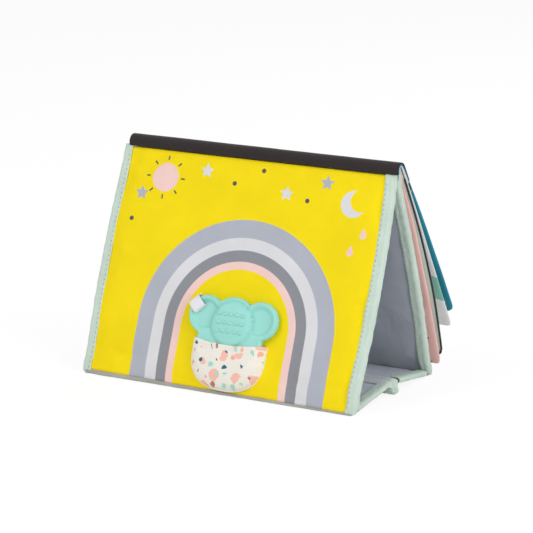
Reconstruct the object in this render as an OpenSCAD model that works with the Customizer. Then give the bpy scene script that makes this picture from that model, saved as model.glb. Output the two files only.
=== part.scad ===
// Soft fabric easel book: two padded covers meet at a ridge and stand as a tent, with a folding
// base between their feet. Four cloth leaves are sewn in at the ridge and hang down the back.
// The front cover carries a pocket that holds a moulded teether on a short ribbon.
// Millimetres. X runs along the ridge, Y from front to back and Z up. The origin is on the
// ground, below the middle of the ridge.

/* [Covers] */
// Width of the book across its two side bindings
book_w = 270; // [220:1:320]
// Length of a cover up its slope, from its foot to the point where both outer faces would meet
cover_len = 220; // [190:1:260]
// Distance between the outer edges of the two feet
stand_depth = 156; // [130:1:180]
// Thickness of a padded cover
cover_t = 7; // [5:0.5:8.5]
// Thickness of the lining cloth
lining_t = 0.8; // [0.4:0.1:1.4]
// Height of the hem along the foot of a cover, up its slope
hem_h = 4; // [2:0.5:8]

/* [Side binding] */
// Width of the binding tape on each face
binding_w = 9; // [6:0.5:14]
// Thickness of the binding tape
binding_t = 0.6; // [0.3:0.05:0.7]

/* [Folding base] */
// Thickness of a base half, lining included
base_t = 4.5; // [3:0.5:6]
// Height of the base's upper face at the crease in the middle
crease_h = 14; // [10:0.5:22]
// Height of the base's underside at the feet
base_lift = 0.5; // [0.3:0.1:2]
// Distance from a base fold's axis to the lining on either side of it
fold_gap = 0.75; // [0.75:0.05:1.5]
// Thickness of the pleat's tail below the crease, on each side of the middle
tail_t = 5; // [3:0.5:8]
// Height of the pleat's tail above the ground
tail_clear = 1; // [0.5:0.5:4]

/* [Ridge] */
// Depth of the ridge fold's axis below the point where the outer faces would meet
axis_drop = 34; // [26:1:45]
// Lean of each cover from upright when the book is folded
folded_lean = 4.5; // [4:0.5:8]
// Radius of the roll along the ridge
ridge_r = 7.6; // [7:0.1:9]
// Depth of the roll's centre below the point where the outer faces would meet
ridge_seat = 6.7; // [6:0.1:8]
// Thickness of the band around the roll
band_t = 1.3; // [0.8:0.1:1.5]
// Length of the band's tail down the back of the outer leaf
band_tail = 9; // [5:1:20]

/* [Leaves] */
// Width of the leaves and the ridge band
leaf_w = 264; // [200:1:268]
// Thickness of a leaf at its lower edge
leaf_t = 3.2; // [2:0.1:4]
// Thickness of a leaf's sewn margin over the ridge
margin_t = 1.1; // [0.6:0.1:1.1]
// Radius of the leaves' lower corners
leaf_corner_r = 10; // [3:1:25]
// Length of the pink leaf below the roll
pink_len = 210; // [150:1:215]
// Lean of the pink leaf from upright
pink_lean = 25.6; // [24.5:0.1:26]
// Length of the mint leaf below the roll
mint_len = 205; // [150:1:215]
// Lean of the mint leaf from upright
mint_lean = 27; // [26.6:0.1:30]
// Length of the grey leaf below the roll
grey_len = 193; // [150:1:215]
// Lean of the grey leaf from upright
grey_lean = 34.4; // [32:0.1:35]
// Length of the teal leaf below the roll
teal_len = 179; // [150:1:215]
// Lean of the teal leaf from upright
teal_lean = 36.2; // [35.8:0.1:45]
// Thickness of the tape or overlock thread on a leaf's edge
edging_t = 0.5; // [0.3:0.1:0.6]
// Width of the tape around the teal leaf
teal_edging_w = 5; // [3:0.5:9]
// Width of the overlock stitch around the mint leaf
mint_edging_w = 2.5; // [1.5:0.5:6]

/* [Printed picture] */
// Thickness of a printed area
print_t = 0.2; // [0.1:0.05:0.3]
// Place of the rainbow's middle across the cover
rainbow_x = 8; // [-8:1:20]
// Height of the rainbow's centre up the cover
rainbow_v = 58; // [50:1:70]
// Outer radius of the rainbow
rainbow_r = 97; // [90:1:110]
// Width of the rainbow's outer stripe
stripe_1_w = 16; // [8:1:18]
// Width of its second stripe
stripe_2_w = 11; // [6:1:13]
// Width of its third stripe
stripe_3_w = 10; // [6:1:12]
// Width of its inner stripe
stripe_4_w = 7; // [4:1:8]
// Radius of the sun
sun_r = 13; // [8:1:16]
// Radius of the moon
moon_r = 12; // [8:1:16]
// Radius of a star
star_r = 7; // [4:0.5:9]
// Radius of a dot
dot_r = 3; // [2:0.5:5]

/* [Pocket] */
// Width of the pocket
pocket_w = 77; // [74:1:84]
// Place of the pocket's middle across the cover
pocket_x = 11; // [0:1:16]
// Height of the pocket's mouth at its sides, up the cover
mouth_v = 47; // [42:1:54]
// Sag of the mouth at its middle
mouth_sag = 4; // [1:0.5:7]
// Length of the pocket's straight sides below the mouth
pocket_side = 13; // [9:0.5:17]
// Thickness of the pocket cloth
pocket_t = 1; // [0.5:0.1:1.5]
// Width of the pocket's sloping border
pocket_slope = 6; // [4:0.5:8]
// Radius of the piping around the pocket
piping_r = 1.4; // [0.8:0.1:2]
// Number of printed chips on the pocket
chip_count = 30; // [12:1:48]
// Largest radius of a chip
chip_r = 3.6; // [2:0.1:4]

/* [Teether] */
// Thickness of the teether
teether_t = 8; // [6:0.5:10]
// Height of the teether's lower end up the cover
teether_v = 24; // [20:1:28]
// Radius of the side lobes
lobe_r = 17; // [15:0.5:18]
// Distance of a side lobe's centre from the middle
lobe_x = 27; // [24:0.5:29]
// Height of a side lobe's centre above the teether's lower end
lobe_y = 44; // [40:1:48]
// Radius of the teether's dome
dome_r = 22; // [18:0.5:24]
// Height of the dome's centre above the lower end
dome_y = 40; // [36:1:42]
// Radius of the belly between the lobes
belly_r = 24; // [20:1:26]
// Radius of the two feet inside the pocket
teether_foot_r = 15; // [12:0.5:17]
// Distance of a foot's centre from the middle
teether_foot_x = 17; // [14:0.5:19]
// Height of a foot's centre above the lower end
teether_foot_y = 22; // [18:1:24]
// Rounding of the teether's edge
teether_round = 2.4; // [1:0.2:3]
// Depth of the dish in each side lobe
dish_depth = 1.5; // [0.5:0.1:2.5]
// Width of the ribbon
ribbon_w = 12; // [8:0.5:13]
// Thickness of the ribbon
ribbon_t = 0.8; // [0.4:0.1:1.2]
// Length of the slot for the ribbon beyond its width
slot_spare = 1.5; // [1:0.5:3]

/* [Hidden] */
$fn = 48;

// Clearance between soft pieces on different sides of a fold
soft_gap = 0.3;
// Clearance between neighbouring margins in the ridge roll
margin_gap = 0.1;
// Overshoot of a cutting shape past what it cuts
cut = 1;
// Length that is longer than any piece, for cutting shapes
far = 2 * (book_w + cover_len);

half_depth = stand_depth / 2;
lean = asin(half_depth / cover_len);
apex_z = cover_len * cos(lean);
ridge_z = apex_z - ridge_seat;

// Fold axes: the ridge axis lies below the roll, each base axis just inside a foot
axis_z = apex_z - axis_drop;
base_axis_z = base_lift + binding_t + base_t + fold_gap;
base_axis_y = half_depth - (cover_t + fold_gap) / cos(lean) - base_axis_z * tan(lean);
crease_rise = crease_h + fold_gap - base_axis_z;
base_rise = atan2(crease_rise, base_axis_y);
base_reach = norm([base_axis_y, crease_rise]);
base_swing = 90 - lean - base_rise;

// Where a base half's lower corner is at each stage of folding, from 0 to 1, and how much
// shorter than its full reach it has to be there to stay on its own side of the middle
axis_offset = half_depth * cos(lean) - axis_z * sin(lean) - cover_t - fold_gap;
axis_to_fold = base_axis_y * sin(lean) + (axis_z - base_axis_z) * cos(lean);
base_depth = fold_gap + base_t + binding_t;
function stage_lean(s) = lean + (folded_lean - lean) * s;
function stage_rise(s) = 90 - stage_lean(s) - base_swing * (1 - s);
function fold_from_middle(s) =
    axis_to_fold * sin(stage_lean(s)) + axis_offset * cos(stage_lean(s));
function shortening(s) =
    (base_reach * cos(stage_rise(s)) + base_depth * sin(stage_rise(s))
        + soft_gap - fold_from_middle(s)) / cos(stage_rise(s));
crease_clear = max([for (s = [0:0.025:1]) shortening(s)]);
base_start = fold_gap;
base_len = base_reach - crease_clear - base_start;

// Outline of a padded strip seen from its end: a bar from depth 0 to depth t with round sides
module bar_2d(w, t) {
    translate([-w / 2 + t / 2, 0]) square([w - t, t]);
    for (side = [-1, 1]) translate([side * (w - t) / 2, t / 2]) circle(r = t / 2);
}

// Part of a padded strip between two depths, inside its side bindings
module layer_2d(t, from, to) {
    intersection() {
        bar_2d(book_w - 2 * binding_t, t);
        translate([-book_w, from]) square([2 * book_w, to - from]);
    }
}

// Binding tape folded around one side of a padded strip
module binding_2d(t, side) {
    intersection() {
        difference() {
            translate([0, -binding_t]) bar_2d(book_w, t + 2 * binding_t);
            bar_2d(book_w - 2 * binding_t, t);
        }
        translate([side * (book_w / 2 - binding_w / 2), t / 2])
            square([binding_w, 2 * t], center = true);
    }
}

// Frame of the front cover: X across, Y into the tent from the outer face, Z up the slope
module on_front_cover() {
    translate([0, -half_depth, 0]) rotate([-lean, 0, 0]) children();
}

// Frame of the front cover's outer face: X across, Y up the slope, Z outwards
module on_front_face() {
    translate([0, -half_depth, 0]) rotate([90 - lean, 0, 0]) children();
}

// Frame of the front half of the base: X across, Y down from its upper face, Z towards the crease
module on_front_base() {
    translate([0, -base_axis_y, base_axis_z]) rotate([base_rise, 0, 0])
        translate([0, 0, -fold_gap]) rotate([-90, 0, 0]) children();
}

// The same piece on the other side of the ridge
module to_rear() {
    mirror([0, 1, 0]) children();
}

// Cover piece cut flat at the ground, at the middle of the tent and around the ridge roll
module trim_cover() {
    difference() {
        on_front_cover() children();
        translate([-far / 2, -far / 2, -far]) cube([far, far, far]);
        translate([-far / 2, -soft_gap / 2, 0]) cube([far, far, far]);
        translate([0, 0, ridge_z]) rotate([0, 90, 0])
            cylinder(h = far, r = ridge_r + soft_gap, center = true, $fn = 96);
    }
}

// Layer of a cover between two depths and two heights up the slope
module cover_layer(from, to, bottom, top) {
    trim_cover() translate([0, 0, bottom]) linear_extrude(top - bottom)
        layer_2d(cover_t, from, to);
}

module cover_panel() {
    cover_layer(0, cover_t - lining_t, hem_h, cover_len);
}

module cover_lining() {
    cover_layer(cover_t - lining_t, cover_t, hem_h, cover_len);
}

module cover_hem() {
    cover_layer(0, cover_t, -cover_t, hem_h);
}

module cover_binding(side) {
    trim_cover() translate([0, 0, -cover_t]) linear_extrude(cover_len + cover_t)
        binding_2d(cover_t, side);
}

// Layer of a base half between two depths below its upper face
module base_layer(from, to) {
    on_front_base() translate([0, 0, base_start]) linear_extrude(base_len)
        layer_2d(base_t, from, to);
}

module base_pad() {
    base_layer(lining_t, base_t);
}

module base_lining() {
    base_layer(0, lining_t);
}

module base_binding(side) {
    on_front_base() translate([0, 0, base_start]) linear_extrude(base_len)
        binding_2d(base_t, side);
}

// Front half of the soft pleat between the base halves, with its tail hanging to the ground
module pleat() {
    near_top = -base_axis_y + (base_start + base_len) * cos(base_rise) + fold_gap * sin(base_rise);
    near_z = base_axis_z + (base_start + base_len) * sin(base_rise) - fold_gap * cos(base_rise);
    near_low = [base_t * sin(base_rise), -base_t * cos(base_rise)];
    near = [near_top, near_z] + [soft_gap / 2, 0];
    middle = -soft_gap / 2;
    rotate([90, 0, 90]) linear_extrude(book_w - 2 * binding_t, center = true) polygon([
        near,
        [middle, crease_h],
        [middle, tail_clear],
        [middle - tail_t * 0.6, tail_clear],
        [middle - tail_t, tail_clear + tail_t / 2],
        [middle - tail_t, crease_h - base_t],
        near + near_low
    ]);
}

// Half plane below the line through the ridge's centre at an angle from the +Y side
module below(angle) {
    rotate(angle) translate([-far / 2, -far]) square([far, far]);
}

// Middle radius of a leaf's margin in the roll, where layer 0 is the outermost
function margin_r(layer) =
    ridge_r - band_t - (layer + 0.5) * (margin_t + margin_gap) - margin_gap / 2;

// Side view extruded across the leaves' width, with the roll's centre as its origin
module across() {
    translate([0, 0, ridge_z]) rotate([90, 0, 90]) linear_extrude(leaf_w, center = true)
        children();
}

// Half of a ring around the roll's centre, on the upper side of a line at an angle
module half_ring_2d(outer, inner, angle) {
    difference() {
        circle(r = outer);
        circle(r = inner);
        below(angle);
    }
}

// Side view of a leaf's padded sheet, which is thicker towards its foot
module sheet_2d(len, angle, layer, grow) {
    r = margin_r(layer);
    rotate(angle) polygon([
        [r - margin_t / 2, margin_t / 2],
        [r + margin_t / 2, margin_t / 2],
        [r + leaf_t / 2 + grow, -len],
        [r - leaf_t / 2 - grow, -len]
    ]);
}

// Prism through a leaf, square to its sheet, with round lower corners
module leaf_trim(len, angle, inset) {
    w = leaf_w - 2 * inset;
    r = max(leaf_corner_r - inset, cut);
    translate([0, 0, ridge_z]) rotate([90 + angle, 0, 0])
        linear_extrude(far, center = true) {
            translate([-w / 2, r + inset - len]) square([w, len + 2 * ridge_r - r - inset]);
            translate([-w / 2 + r, inset - len]) square([w - 2 * r, len]);
            for (side = [-1, 1]) translate([side * (w / 2 - r), r + inset - len]) circle(r = r);
        }
}

// Room that the rear cover and its bindings take up below the roll, with a clearance over them
module rear_cover_room() {
    to_rear() difference() {
        on_front_cover() {
            translate([-far / 2, -soft_gap, -far / 2]) cube([far, cover_t, far]);
            for (side = [-1, 1])
                translate([side * book_w / 2 - binding_w - soft_gap, -binding_t - soft_gap, 0])
                    cube([2 * (binding_w + soft_gap), cover_t, far]);
        }
        translate([0, 0, ridge_z]) rotate([0, 90, 0])
            cylinder(h = far, r = ridge_r, center = true, $fn = 96);
    }
}

// Cloth leaf with its margin over the roll, set back where tape or thread goes around its edge
module leaf(len, angle, layer, edge = 0) {
    r = margin_r(layer);
    difference() {
        intersection() {
            union() {
                across() half_ring_2d(r + margin_t / 2, r - margin_t / 2, angle);
                across() sheet_2d(len, angle, layer, 0);
            }
            leaf_trim(len, angle, edge);
        }
        rear_cover_room();
    }
}

// Tape or thread around a leaf's sides and foot, leaving its face free past a border
module leaf_edging(len, angle, layer, w) {
    difference() {
        intersection() {
            across() difference() {
                sheet_2d(len, angle, layer, edging_t);
                circle(r = ridge_r + soft_gap);
            }
            leaf_trim(len, angle, 0);
        }
        leaf(len, angle, layer, edging_t);
        leaf_trim(len, angle, w);
    }
}

// Band around the roll: from the top of the front cover, over the ridge and down the outer leaf
module ridge_band_shape() {
    front_end = 50;
    inner_r = ridge_r - band_t;
    across() half_ring_2d(ridge_r, inner_r, teal_lean);
    across() half_ring_2d(ridge_r, inner_r, front_end);
    across() rotate(teal_lean) polygon([
        [inner_r, band_t / 2],
        [ridge_r, band_t / 2],
        [ridge_r + leaf_t / 4, -band_tail],
        [inner_r + leaf_t / 4, -band_tail]
    ]);
}

// Printed area on the front cover
module printed() {
    on_front_face() linear_extrude(print_t) children();
}

// One stripe of the rainbow, a half ring on straight legs that end at the hem
module stripe_2d(outer, w) {
    translate([rainbow_x, rainbow_v]) difference() {
        union() {
            circle(r = outer, $fn = 96);
            translate([-outer, -rainbow_v + hem_h]) square([2 * outer, rainbow_v - hem_h]);
        }
        circle(r = outer - w, $fn = 96);
        translate([-outer + w, -rainbow_v]) square([2 * (outer - w), rainbow_v]);
        translate([-far / 2, hem_h - rainbow_v - far]) square([far, far]);
    }
}

// Star with five points
module star_2d(r) {
    polygon([for (i = [0:9]) (i % 2 == 0 ? r : r * 0.48) * [sin(36 * i), cos(36 * i)]]);
}

// Rain drop with its point up
module drop_2d(r) {
    circle(r = r);
    polygon([[-r * 0.92, r * 0.4], [r * 0.92, r * 0.4], [0, 2.3 * r]]);
}

stripe_2_r = rainbow_r - stripe_1_w;
stripe_3_r = stripe_2_r - stripe_2_w;
stripe_4_r = stripe_3_r - stripe_3_w;
// Lower edge of the ridge band on the cover, and the room below it around the rainbow
sky_top = cover_len - ridge_seat * cos(lean) - sqrt(ridge_r^2 - pow(ridge_seat * sin(lean), 2));
sky_h = sky_top - rainbow_v - rainbow_r;
sky_v = sky_top - sky_h / 2;
sky_x = book_w / 2 - 2 * binding_w;
sun_v = sky_top - 1.75 * sun_r;

// Place in the sky, from shares of its half width and of its height
module in_sky(p) {
    translate([p[0] * sky_x, sky_v + p[1] * sky_h]) children();
}

module print_grey() {
    color("#b3b7c2") printed() {
        stripe_2d(rainbow_r, stripe_1_w);
        for (p = [[-0.93, -0.26], [0.62, 0.28]]) in_sky(p) star_2d(star_r);
    }
}

module print_pale() {
    color("#d9dade") printed() {
        stripe_2d(stripe_2_r, stripe_2_w);
        in_sky([0.86, -0.02]) difference() {
            circle(r = moon_r);
            translate([moon_r * 0.55, moon_r * 0.3]) circle(r = moon_r * 0.85);
        }
        for (p = [[-0.4, 0.25], [0.3, 0.02]]) in_sky(p) star_2d(star_r);
    }
}

module print_slate() {
    color("#8f9196") printed() stripe_2d(stripe_3_r, stripe_3_w);
}

module print_blush() {
    color("#f2cfc8") printed() {
        stripe_2d(stripe_4_r, stripe_4_w);
        translate([-0.75 * sky_x, sun_v]) circle(r = sun_r);
        for (p = [[0.98, -0.53], [0.9, -0.84]]) in_sky(p) drop_2d(dot_r);
    }
}

module print_charcoal() {
    color("#57545a") printed() {
        translate([-0.75 * sky_x, sun_v]) for (i = [0:7]) rotate(45 * i)
            translate([sun_r * 1.2, -dot_r / 4]) square([sun_r * 0.3, dot_r / 2]);
        for (p = [[-0.15, 0.09], [0.48, -0.06], [-0.98, -0.72], [0.08, 0.36]])
            in_sky(p) circle(r = dot_r * 0.7);
    }
}

// Teether: a little cloud with a dome, two side lobes and round feet inside the pocket
teether_back = print_t + soft_gap + ribbon_t;
teether_front = teether_back + teether_t;

// Cloud outline, drawn in by an amount all round
module cloud_2d(inset) {
    translate([0, dome_y]) circle(r = dome_r - inset);
    translate([0, belly_r]) circle(r = belly_r - inset);
    for (side = [-1, 1]) {
        translate([side * lobe_x, lobe_y]) circle(r = lobe_r - inset);
        translate([side * teether_foot_x, teether_foot_y]) circle(r = teether_foot_r - inset);
    }
}

// Frame of the teether on the front cover's outer face
module on_teether() {
    on_front_face() translate([pocket_x, teether_v, 0]) children();
}

// Frame of the ribbon's slot: X along the slot, Y towards the rim of the left lobe
module at_slot() {
    translate([-lobe_x - 6, lobe_y + 4, 0]) rotate(45) children();
}

module teether() {
    slot_w = ribbon_t + 2 * soft_gap + 1;
    steps = 3;
    color("#a0ded6") on_teether() difference() {
        union() {
            for (i = [0:steps]) {
                turn = 90 * i / steps;
                rim = teether_round * (1 - sin(turn));
                translate([0, 0, teether_back + rim])
                    linear_extrude(teether_t - 2 * rim)
                        cloud_2d(teether_round * (1 - cos(turn)));
            }
            for (row = [0:2]) translate([0, 30 + 8 * row, teether_front - cut])
                for (i = [-2:2]) translate([6 * i, 0, 0]) cylinder(h = cut + 1, r = 1.6);
        }
        for (side = [-1, 1]) translate([side * lobe_x, lobe_y, teether_front - dish_depth])
            cylinder(h = teether_t, r = lobe_r - 5);
        at_slot() translate([-(ribbon_w + slot_spare) / 2, -slot_w / 2, 0])
            cube([ribbon_w + slot_spare, slot_w, 2 * teether_front]);
    }
}

// Ribbon sewn to the cover, up through the slot, over the lobe's rim and back to the cover
module ribbon() {
    rim_y = lobe_r - norm([6, 4]) + 2 * soft_gap;
    over = teether_front + soft_gap;
    color("#e8e6ec") on_teether() at_slot() translate([-ribbon_w / 2, 0, 0]) {
        translate([0, -ribbon_t / 2, 0]) cube([ribbon_w, ribbon_t, over + ribbon_t]);
        translate([0, -ribbon_t / 2, over]) cube([ribbon_w, rim_y + 1.5 * ribbon_t, ribbon_t]);
        translate([0, rim_y, 0]) cube([ribbon_w, ribbon_t, over + ribbon_t]);
        translate([0, -ribbon_t / 2, 0]) cube([ribbon_w, rim_y + 1.5 * ribbon_t, ribbon_t]);
    }
}

pocket_r = pocket_w / 2;
pocket_v = mouth_v - pocket_side;
pocket_out = teether_front + soft_gap + pocket_t;

// Pocket outline, drawn in by an amount all round: round below, straight up to the mouth
module pocket_2d(inset) {
    r = pocket_r - inset;
    circle(r = r, $fn = 72);
    translate([-r, 0]) square([2 * r, mouth_v - pocket_v]);
}

// Domed body of the pocket or of the room inside it, from its border up to a height
module pocket_body(inset, out) {
    hull() {
        linear_extrude(pocket_t / 2) pocket_2d(inset);
        translate([0, 0, out - pocket_t / 2]) linear_extrude(pocket_t / 2)
            pocket_2d(inset + pocket_slope);
    }
}

// Frame of the pocket on the front cover's outer face
module on_pocket() {
    on_front_face() translate([pocket_x, pocket_v, 0]) children();
}

// Space above the hem and below the sagging mouth
module pocket_limit() {
    mouth_r = (pow(pocket_r, 2) + pow(mouth_sag, 2)) / (2 * mouth_sag);
    difference() {
        translate([-pocket_w, hem_h - pocket_v, -cut])
            cube([2 * pocket_w, mouth_v - hem_h, 2 * pocket_out]);
        translate([0, mouth_v - pocket_v - mouth_sag + mouth_r, -2 * cut])
            cylinder(h = 3 * pocket_out, r = mouth_r, $fn = 180);
    }
}

module pocket() {
    color("#f1ece3") on_pocket() intersection() {
        difference() {
            pocket_body(0, pocket_out);
            translate([0, 0, -cut]) linear_extrude(cut + pocket_t / 2) pocket_2d(pocket_t);
            pocket_body(pocket_t, pocket_out - pocket_t);
        }
        pocket_limit();
    }
}

// Piping sewn along the pocket's sides and foot
module pocket_piping() {
    ring = pocket_r + piping_r;
    color("#efeae0") on_pocket() intersection() {
        translate([0, 0, piping_r]) union() {
            rotate([0, 0, 180]) rotate_extrude(angle = 180) translate([ring, 0])
                circle(r = piping_r, $fn = 24);
            for (side = [-1, 1]) translate([side * ring, 0, 0]) rotate([-90, 0, 0])
                cylinder(h = mouth_v - pocket_v + piping_r, r = piping_r, $fn = 24);
        }
        translate([-pocket_w, hem_h - pocket_v, -cut])
            cube([2 * pocket_w, 2 * mouth_v, 2 * pocket_out]);
    }
}

// Printed chips of one colour, spread over the flat front of the pocket
module chips(colour) {
    spread = pocket_r - pocket_slope - chip_r;
    low = hem_h - pocket_v + chip_r;
    high = mouth_v - pocket_v - mouth_sag - chip_r;
    on_pocket() translate([0, 0, pocket_out]) linear_extrude(print_t)
        for (i = [colour:4:chip_count - 1]) {
            r = spread * sqrt((i + 0.5) / chip_count);
            x = r * cos(137.5 * i);
            y = r * sin(137.5 * i);
            bits = rands(0.45, 0.95, 6, 17 + i);
            if (y > low && y < high) translate([x, y]) polygon([for (k = [0:5])
                chip_r * bits[k] * [cos(60 * k + 20 * i), sin(60 * k + 20 * i)]]);
        }
}

module rear_cover_panel() {
    color("#c9cbd1") to_rear() cover_panel();
}

module rear_cover_lining() {
    color("#85898f") to_rear() cover_lining();
}

module rear_cover_hem() {
    color("#b5b3ae") to_rear() cover_hem();
}

module rear_binding(side) {
    color("#bfd6ca") to_rear() cover_binding(side);
}

module ridge_band() {
    color("#3a3233") ridge_band_shape();
}

module leaf_pink() {
    color("#e8a9a5") leaf(pink_len, pink_lean, 3);
}

module leaf_mint() {
    color("#d8e6de") leaf(mint_len, mint_lean, 2, edging_t);
}

module leaf_mint_overlock() {
    color("#2b2a2c") leaf_edging(mint_len, mint_lean, 2, mint_edging_w);
}

module leaf_grey() {
    color("#cfcbce") leaf(grey_len, grey_lean, 1);
}

module leaf_teal() {
    color("#efeeec") leaf(teal_len, teal_lean, 0, edging_t);
}

module leaf_teal_binding() {
    color("#017a8f") leaf_edging(teal_len, teal_lean, 0, teal_edging_w);
}

module front_cover_panel() {
    color("#f7e017") cover_panel();
}

module front_cover_lining() {
    color("#85898f") cover_lining();
}

module front_cover_hem() {
    color("#b5b3ae") cover_hem();
}

module front_binding(side) {
    color("#cfe3d8") cover_binding(side);
}

module front_base_pad() {
    color("#b5b3ae") base_pad();
}

module front_base_lining() {
    color("#85898f") base_lining();
}

module front_base_binding(side) {
    color("#cfe3d8") base_binding(side);
}

module front_pleat() {
    color("#a7a9ad") pleat();
}

module rear_base_pad() {
    color("#b5b3ae") to_rear() base_pad();
}

module rear_base_lining() {
    color("#85898f") to_rear() base_lining();
}

module rear_base_binding(side) {
    color("#cfe3d8") to_rear() base_binding(side);
}

module rear_pleat() {
    color("#a7a9ad") to_rear() pleat();
}

rear_cover_panel();
rear_cover_lining();
rear_cover_hem();
rear_binding(-1);  // rear_binding_left
rear_binding(1);  // rear_binding_right
ridge_band();
leaf_pink();
leaf_mint();
leaf_mint_overlock();
leaf_grey();
leaf_teal();
leaf_teal_binding();
front_cover_panel();
front_cover_lining();
front_cover_hem();
front_binding(-1);  // front_binding_left
front_binding(1);  // front_binding_right
print_grey();
print_pale();
print_slate();
print_blush();
print_charcoal();
pocket();
pocket_piping();
color("#f7b9a9") chips(0);  // chips_blush
color("#c4745a") chips(1);  // chips_terracotta
color("#1f5d7e") chips(2);  // chips_navy
color("#9adbcf") chips(3);  // chips_aqua
teether();
ribbon();
front_base_pad();
front_base_lining();
front_base_binding(-1);  // front_base_binding_left
front_base_binding(1);  // front_base_binding_right
front_pleat();
rear_base_pad();
rear_base_lining();
rear_base_binding(-1);  // rear_base_binding_left
rear_base_binding(1);  // rear_base_binding_right
rear_pleat();
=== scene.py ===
"""Soft cloth easel book, dressed in one frame with its CAD solids.

Two padded covers meet at a rolled ridge and stand as a tent, a base folds up between their feet,
four cloth leaves hang down the back, and the front cover has a pocket with a silicone teether.
Sizes are in millimetres, as in the CAD source, and each mesh is scaled to metres when it is made.
"""

from __future__ import annotations

import logging
import math
from collections.abc import Callable, Sequence
from dataclasses import dataclass, field
from enum import Enum

import bmesh
import bpy
import numpy as np
from mathutils import Matrix, Vector, noise

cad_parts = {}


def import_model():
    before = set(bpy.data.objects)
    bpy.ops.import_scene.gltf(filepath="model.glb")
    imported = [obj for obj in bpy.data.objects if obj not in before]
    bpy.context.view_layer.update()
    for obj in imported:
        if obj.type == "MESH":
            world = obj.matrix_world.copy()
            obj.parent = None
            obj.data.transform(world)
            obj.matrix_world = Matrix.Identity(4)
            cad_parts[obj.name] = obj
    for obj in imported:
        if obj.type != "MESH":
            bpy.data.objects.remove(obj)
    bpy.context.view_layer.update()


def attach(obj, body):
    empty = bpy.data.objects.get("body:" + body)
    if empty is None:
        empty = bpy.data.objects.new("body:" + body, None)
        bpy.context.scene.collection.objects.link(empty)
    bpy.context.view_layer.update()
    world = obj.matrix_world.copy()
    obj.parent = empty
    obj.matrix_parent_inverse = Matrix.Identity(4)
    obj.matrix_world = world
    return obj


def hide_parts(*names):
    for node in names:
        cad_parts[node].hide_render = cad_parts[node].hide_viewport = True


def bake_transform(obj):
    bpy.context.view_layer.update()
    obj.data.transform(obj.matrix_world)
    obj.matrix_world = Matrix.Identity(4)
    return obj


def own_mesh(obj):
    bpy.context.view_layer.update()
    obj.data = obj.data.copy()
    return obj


MM = 0.001
LOG = logging.getLogger("easel_book")

Socket = bpy.types.NodeSocket
Point = tuple[float, float, float]
Spots = tuple[tuple[float, float], ...]
Place = Callable[[float, float, float], Sequence[float]]

# Refraction of polyester and cotton fibre, and of silicone rubber.
FIBRE_IOR = 1.46
SILICONE_IOR = 1.41
# Half the width and half the height of a stitch's thread, in millimetres.
THREAD_HALF = (0.5, 0.34)


class Side(Enum):
    """Which of the two covers or base halves a piece belongs to."""

    FRONT = "front"
    REAR = "rear"


class Hand(Enum):
    """Left or right, as seen from the front."""

    LEFT = -1
    RIGHT = 1


# ---------------------------------------------------------------- sizes


@dataclass(frozen=True)
class Tent:
    """Sizes of the standing book that several sub-assemblies share."""

    width: float = 270.0
    cover_len: float = 220.0
    depth: float = 156.0
    cover_t: float = 7.0
    binding_w: float = 9.0
    binding_t: float = 0.6
    base_t: float = 4.5
    base_lift: float = 0.5
    crease_h: float = 14.0
    fold_gap: float = 0.75
    ridge_r: float = 7.6
    ridge_seat: float = 6.7
    soft_gap: float = 0.3

    @property
    def lean(self) -> float:
        """Lean of a cover from upright, in radians."""
        return math.asin(self.depth / 2 / self.cover_len)

    @property
    def apex_z(self) -> float:
        """Height at which the outer faces of the covers would meet."""
        return self.cover_len * math.cos(self.lean)

    @property
    def ridge_z(self) -> float:
        """Height of the roll's centre."""
        return self.apex_z - self.ridge_seat

    @property
    def base_axis(self) -> tuple[float, float]:
        """Distance of a base fold's axis from the middle, and its height."""
        z = self.base_lift + self.binding_t + self.base_t + self.fold_gap
        inner = (self.cover_t + self.fold_gap) / math.cos(self.lean)
        return self.depth / 2 - inner - z * math.tan(self.lean), z

    @property
    def base_rise(self) -> float:
        """Slope of a base half, in radians."""
        reach, z = self.base_axis
        return math.atan2(self.crease_h + self.fold_gap - z, reach)

    def side_frame(self, side: Side) -> Matrix:
        """Scale to metres, mirrored in Y for the rear."""
        scale = Matrix.Scale(MM, 4)
        return scale @ Matrix.Scale(-1, 4, (0, 1, 0)) if side is Side.REAR else scale

    def face_frame(self, side: Side) -> Matrix:
        """Frame of a cover's outer face: X across, Y up the slope and Z outwards."""
        turn = Matrix.Rotation(math.pi / 2 - self.lean, 4, "X")
        return self.side_frame(side) @ Matrix.Translation((0, -self.depth / 2, 0)) @ turn

    def base_frame(self, side: Side) -> Matrix:
        """Finds where a base half lies.

        Args:
            side: Which half.

        Returns:
            The frame, with X across, Y from the fold to the crease and Z up from the top.
        """
        reach, z = self.base_axis
        turn = Matrix.Rotation(self.base_rise, 4, "X")
        drop = Matrix.Translation((0, 0, -self.fold_gap))
        return self.side_frame(side) @ Matrix.Translation((0, -reach, z)) @ turn @ drop


# ---------------------------------------------------------------- finishes


def linear(colour: str) -> tuple[float, float, float, float]:
    """Turns an sRGB hex colour into the linear values that shaders take.

    Args:
        colour: Six hex digits with a leading hash.

    Returns:
        Linear red, green, blue and an alpha of 1.
    """
    parts = [int(colour[i : i + 2], 16) / 255 for i in (1, 3, 5)]
    return (*(c / 12.92 if c <= 0.04045 else ((c + 0.055) / 1.055) ** 2.4 for c in parts), 1.0)


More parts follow.
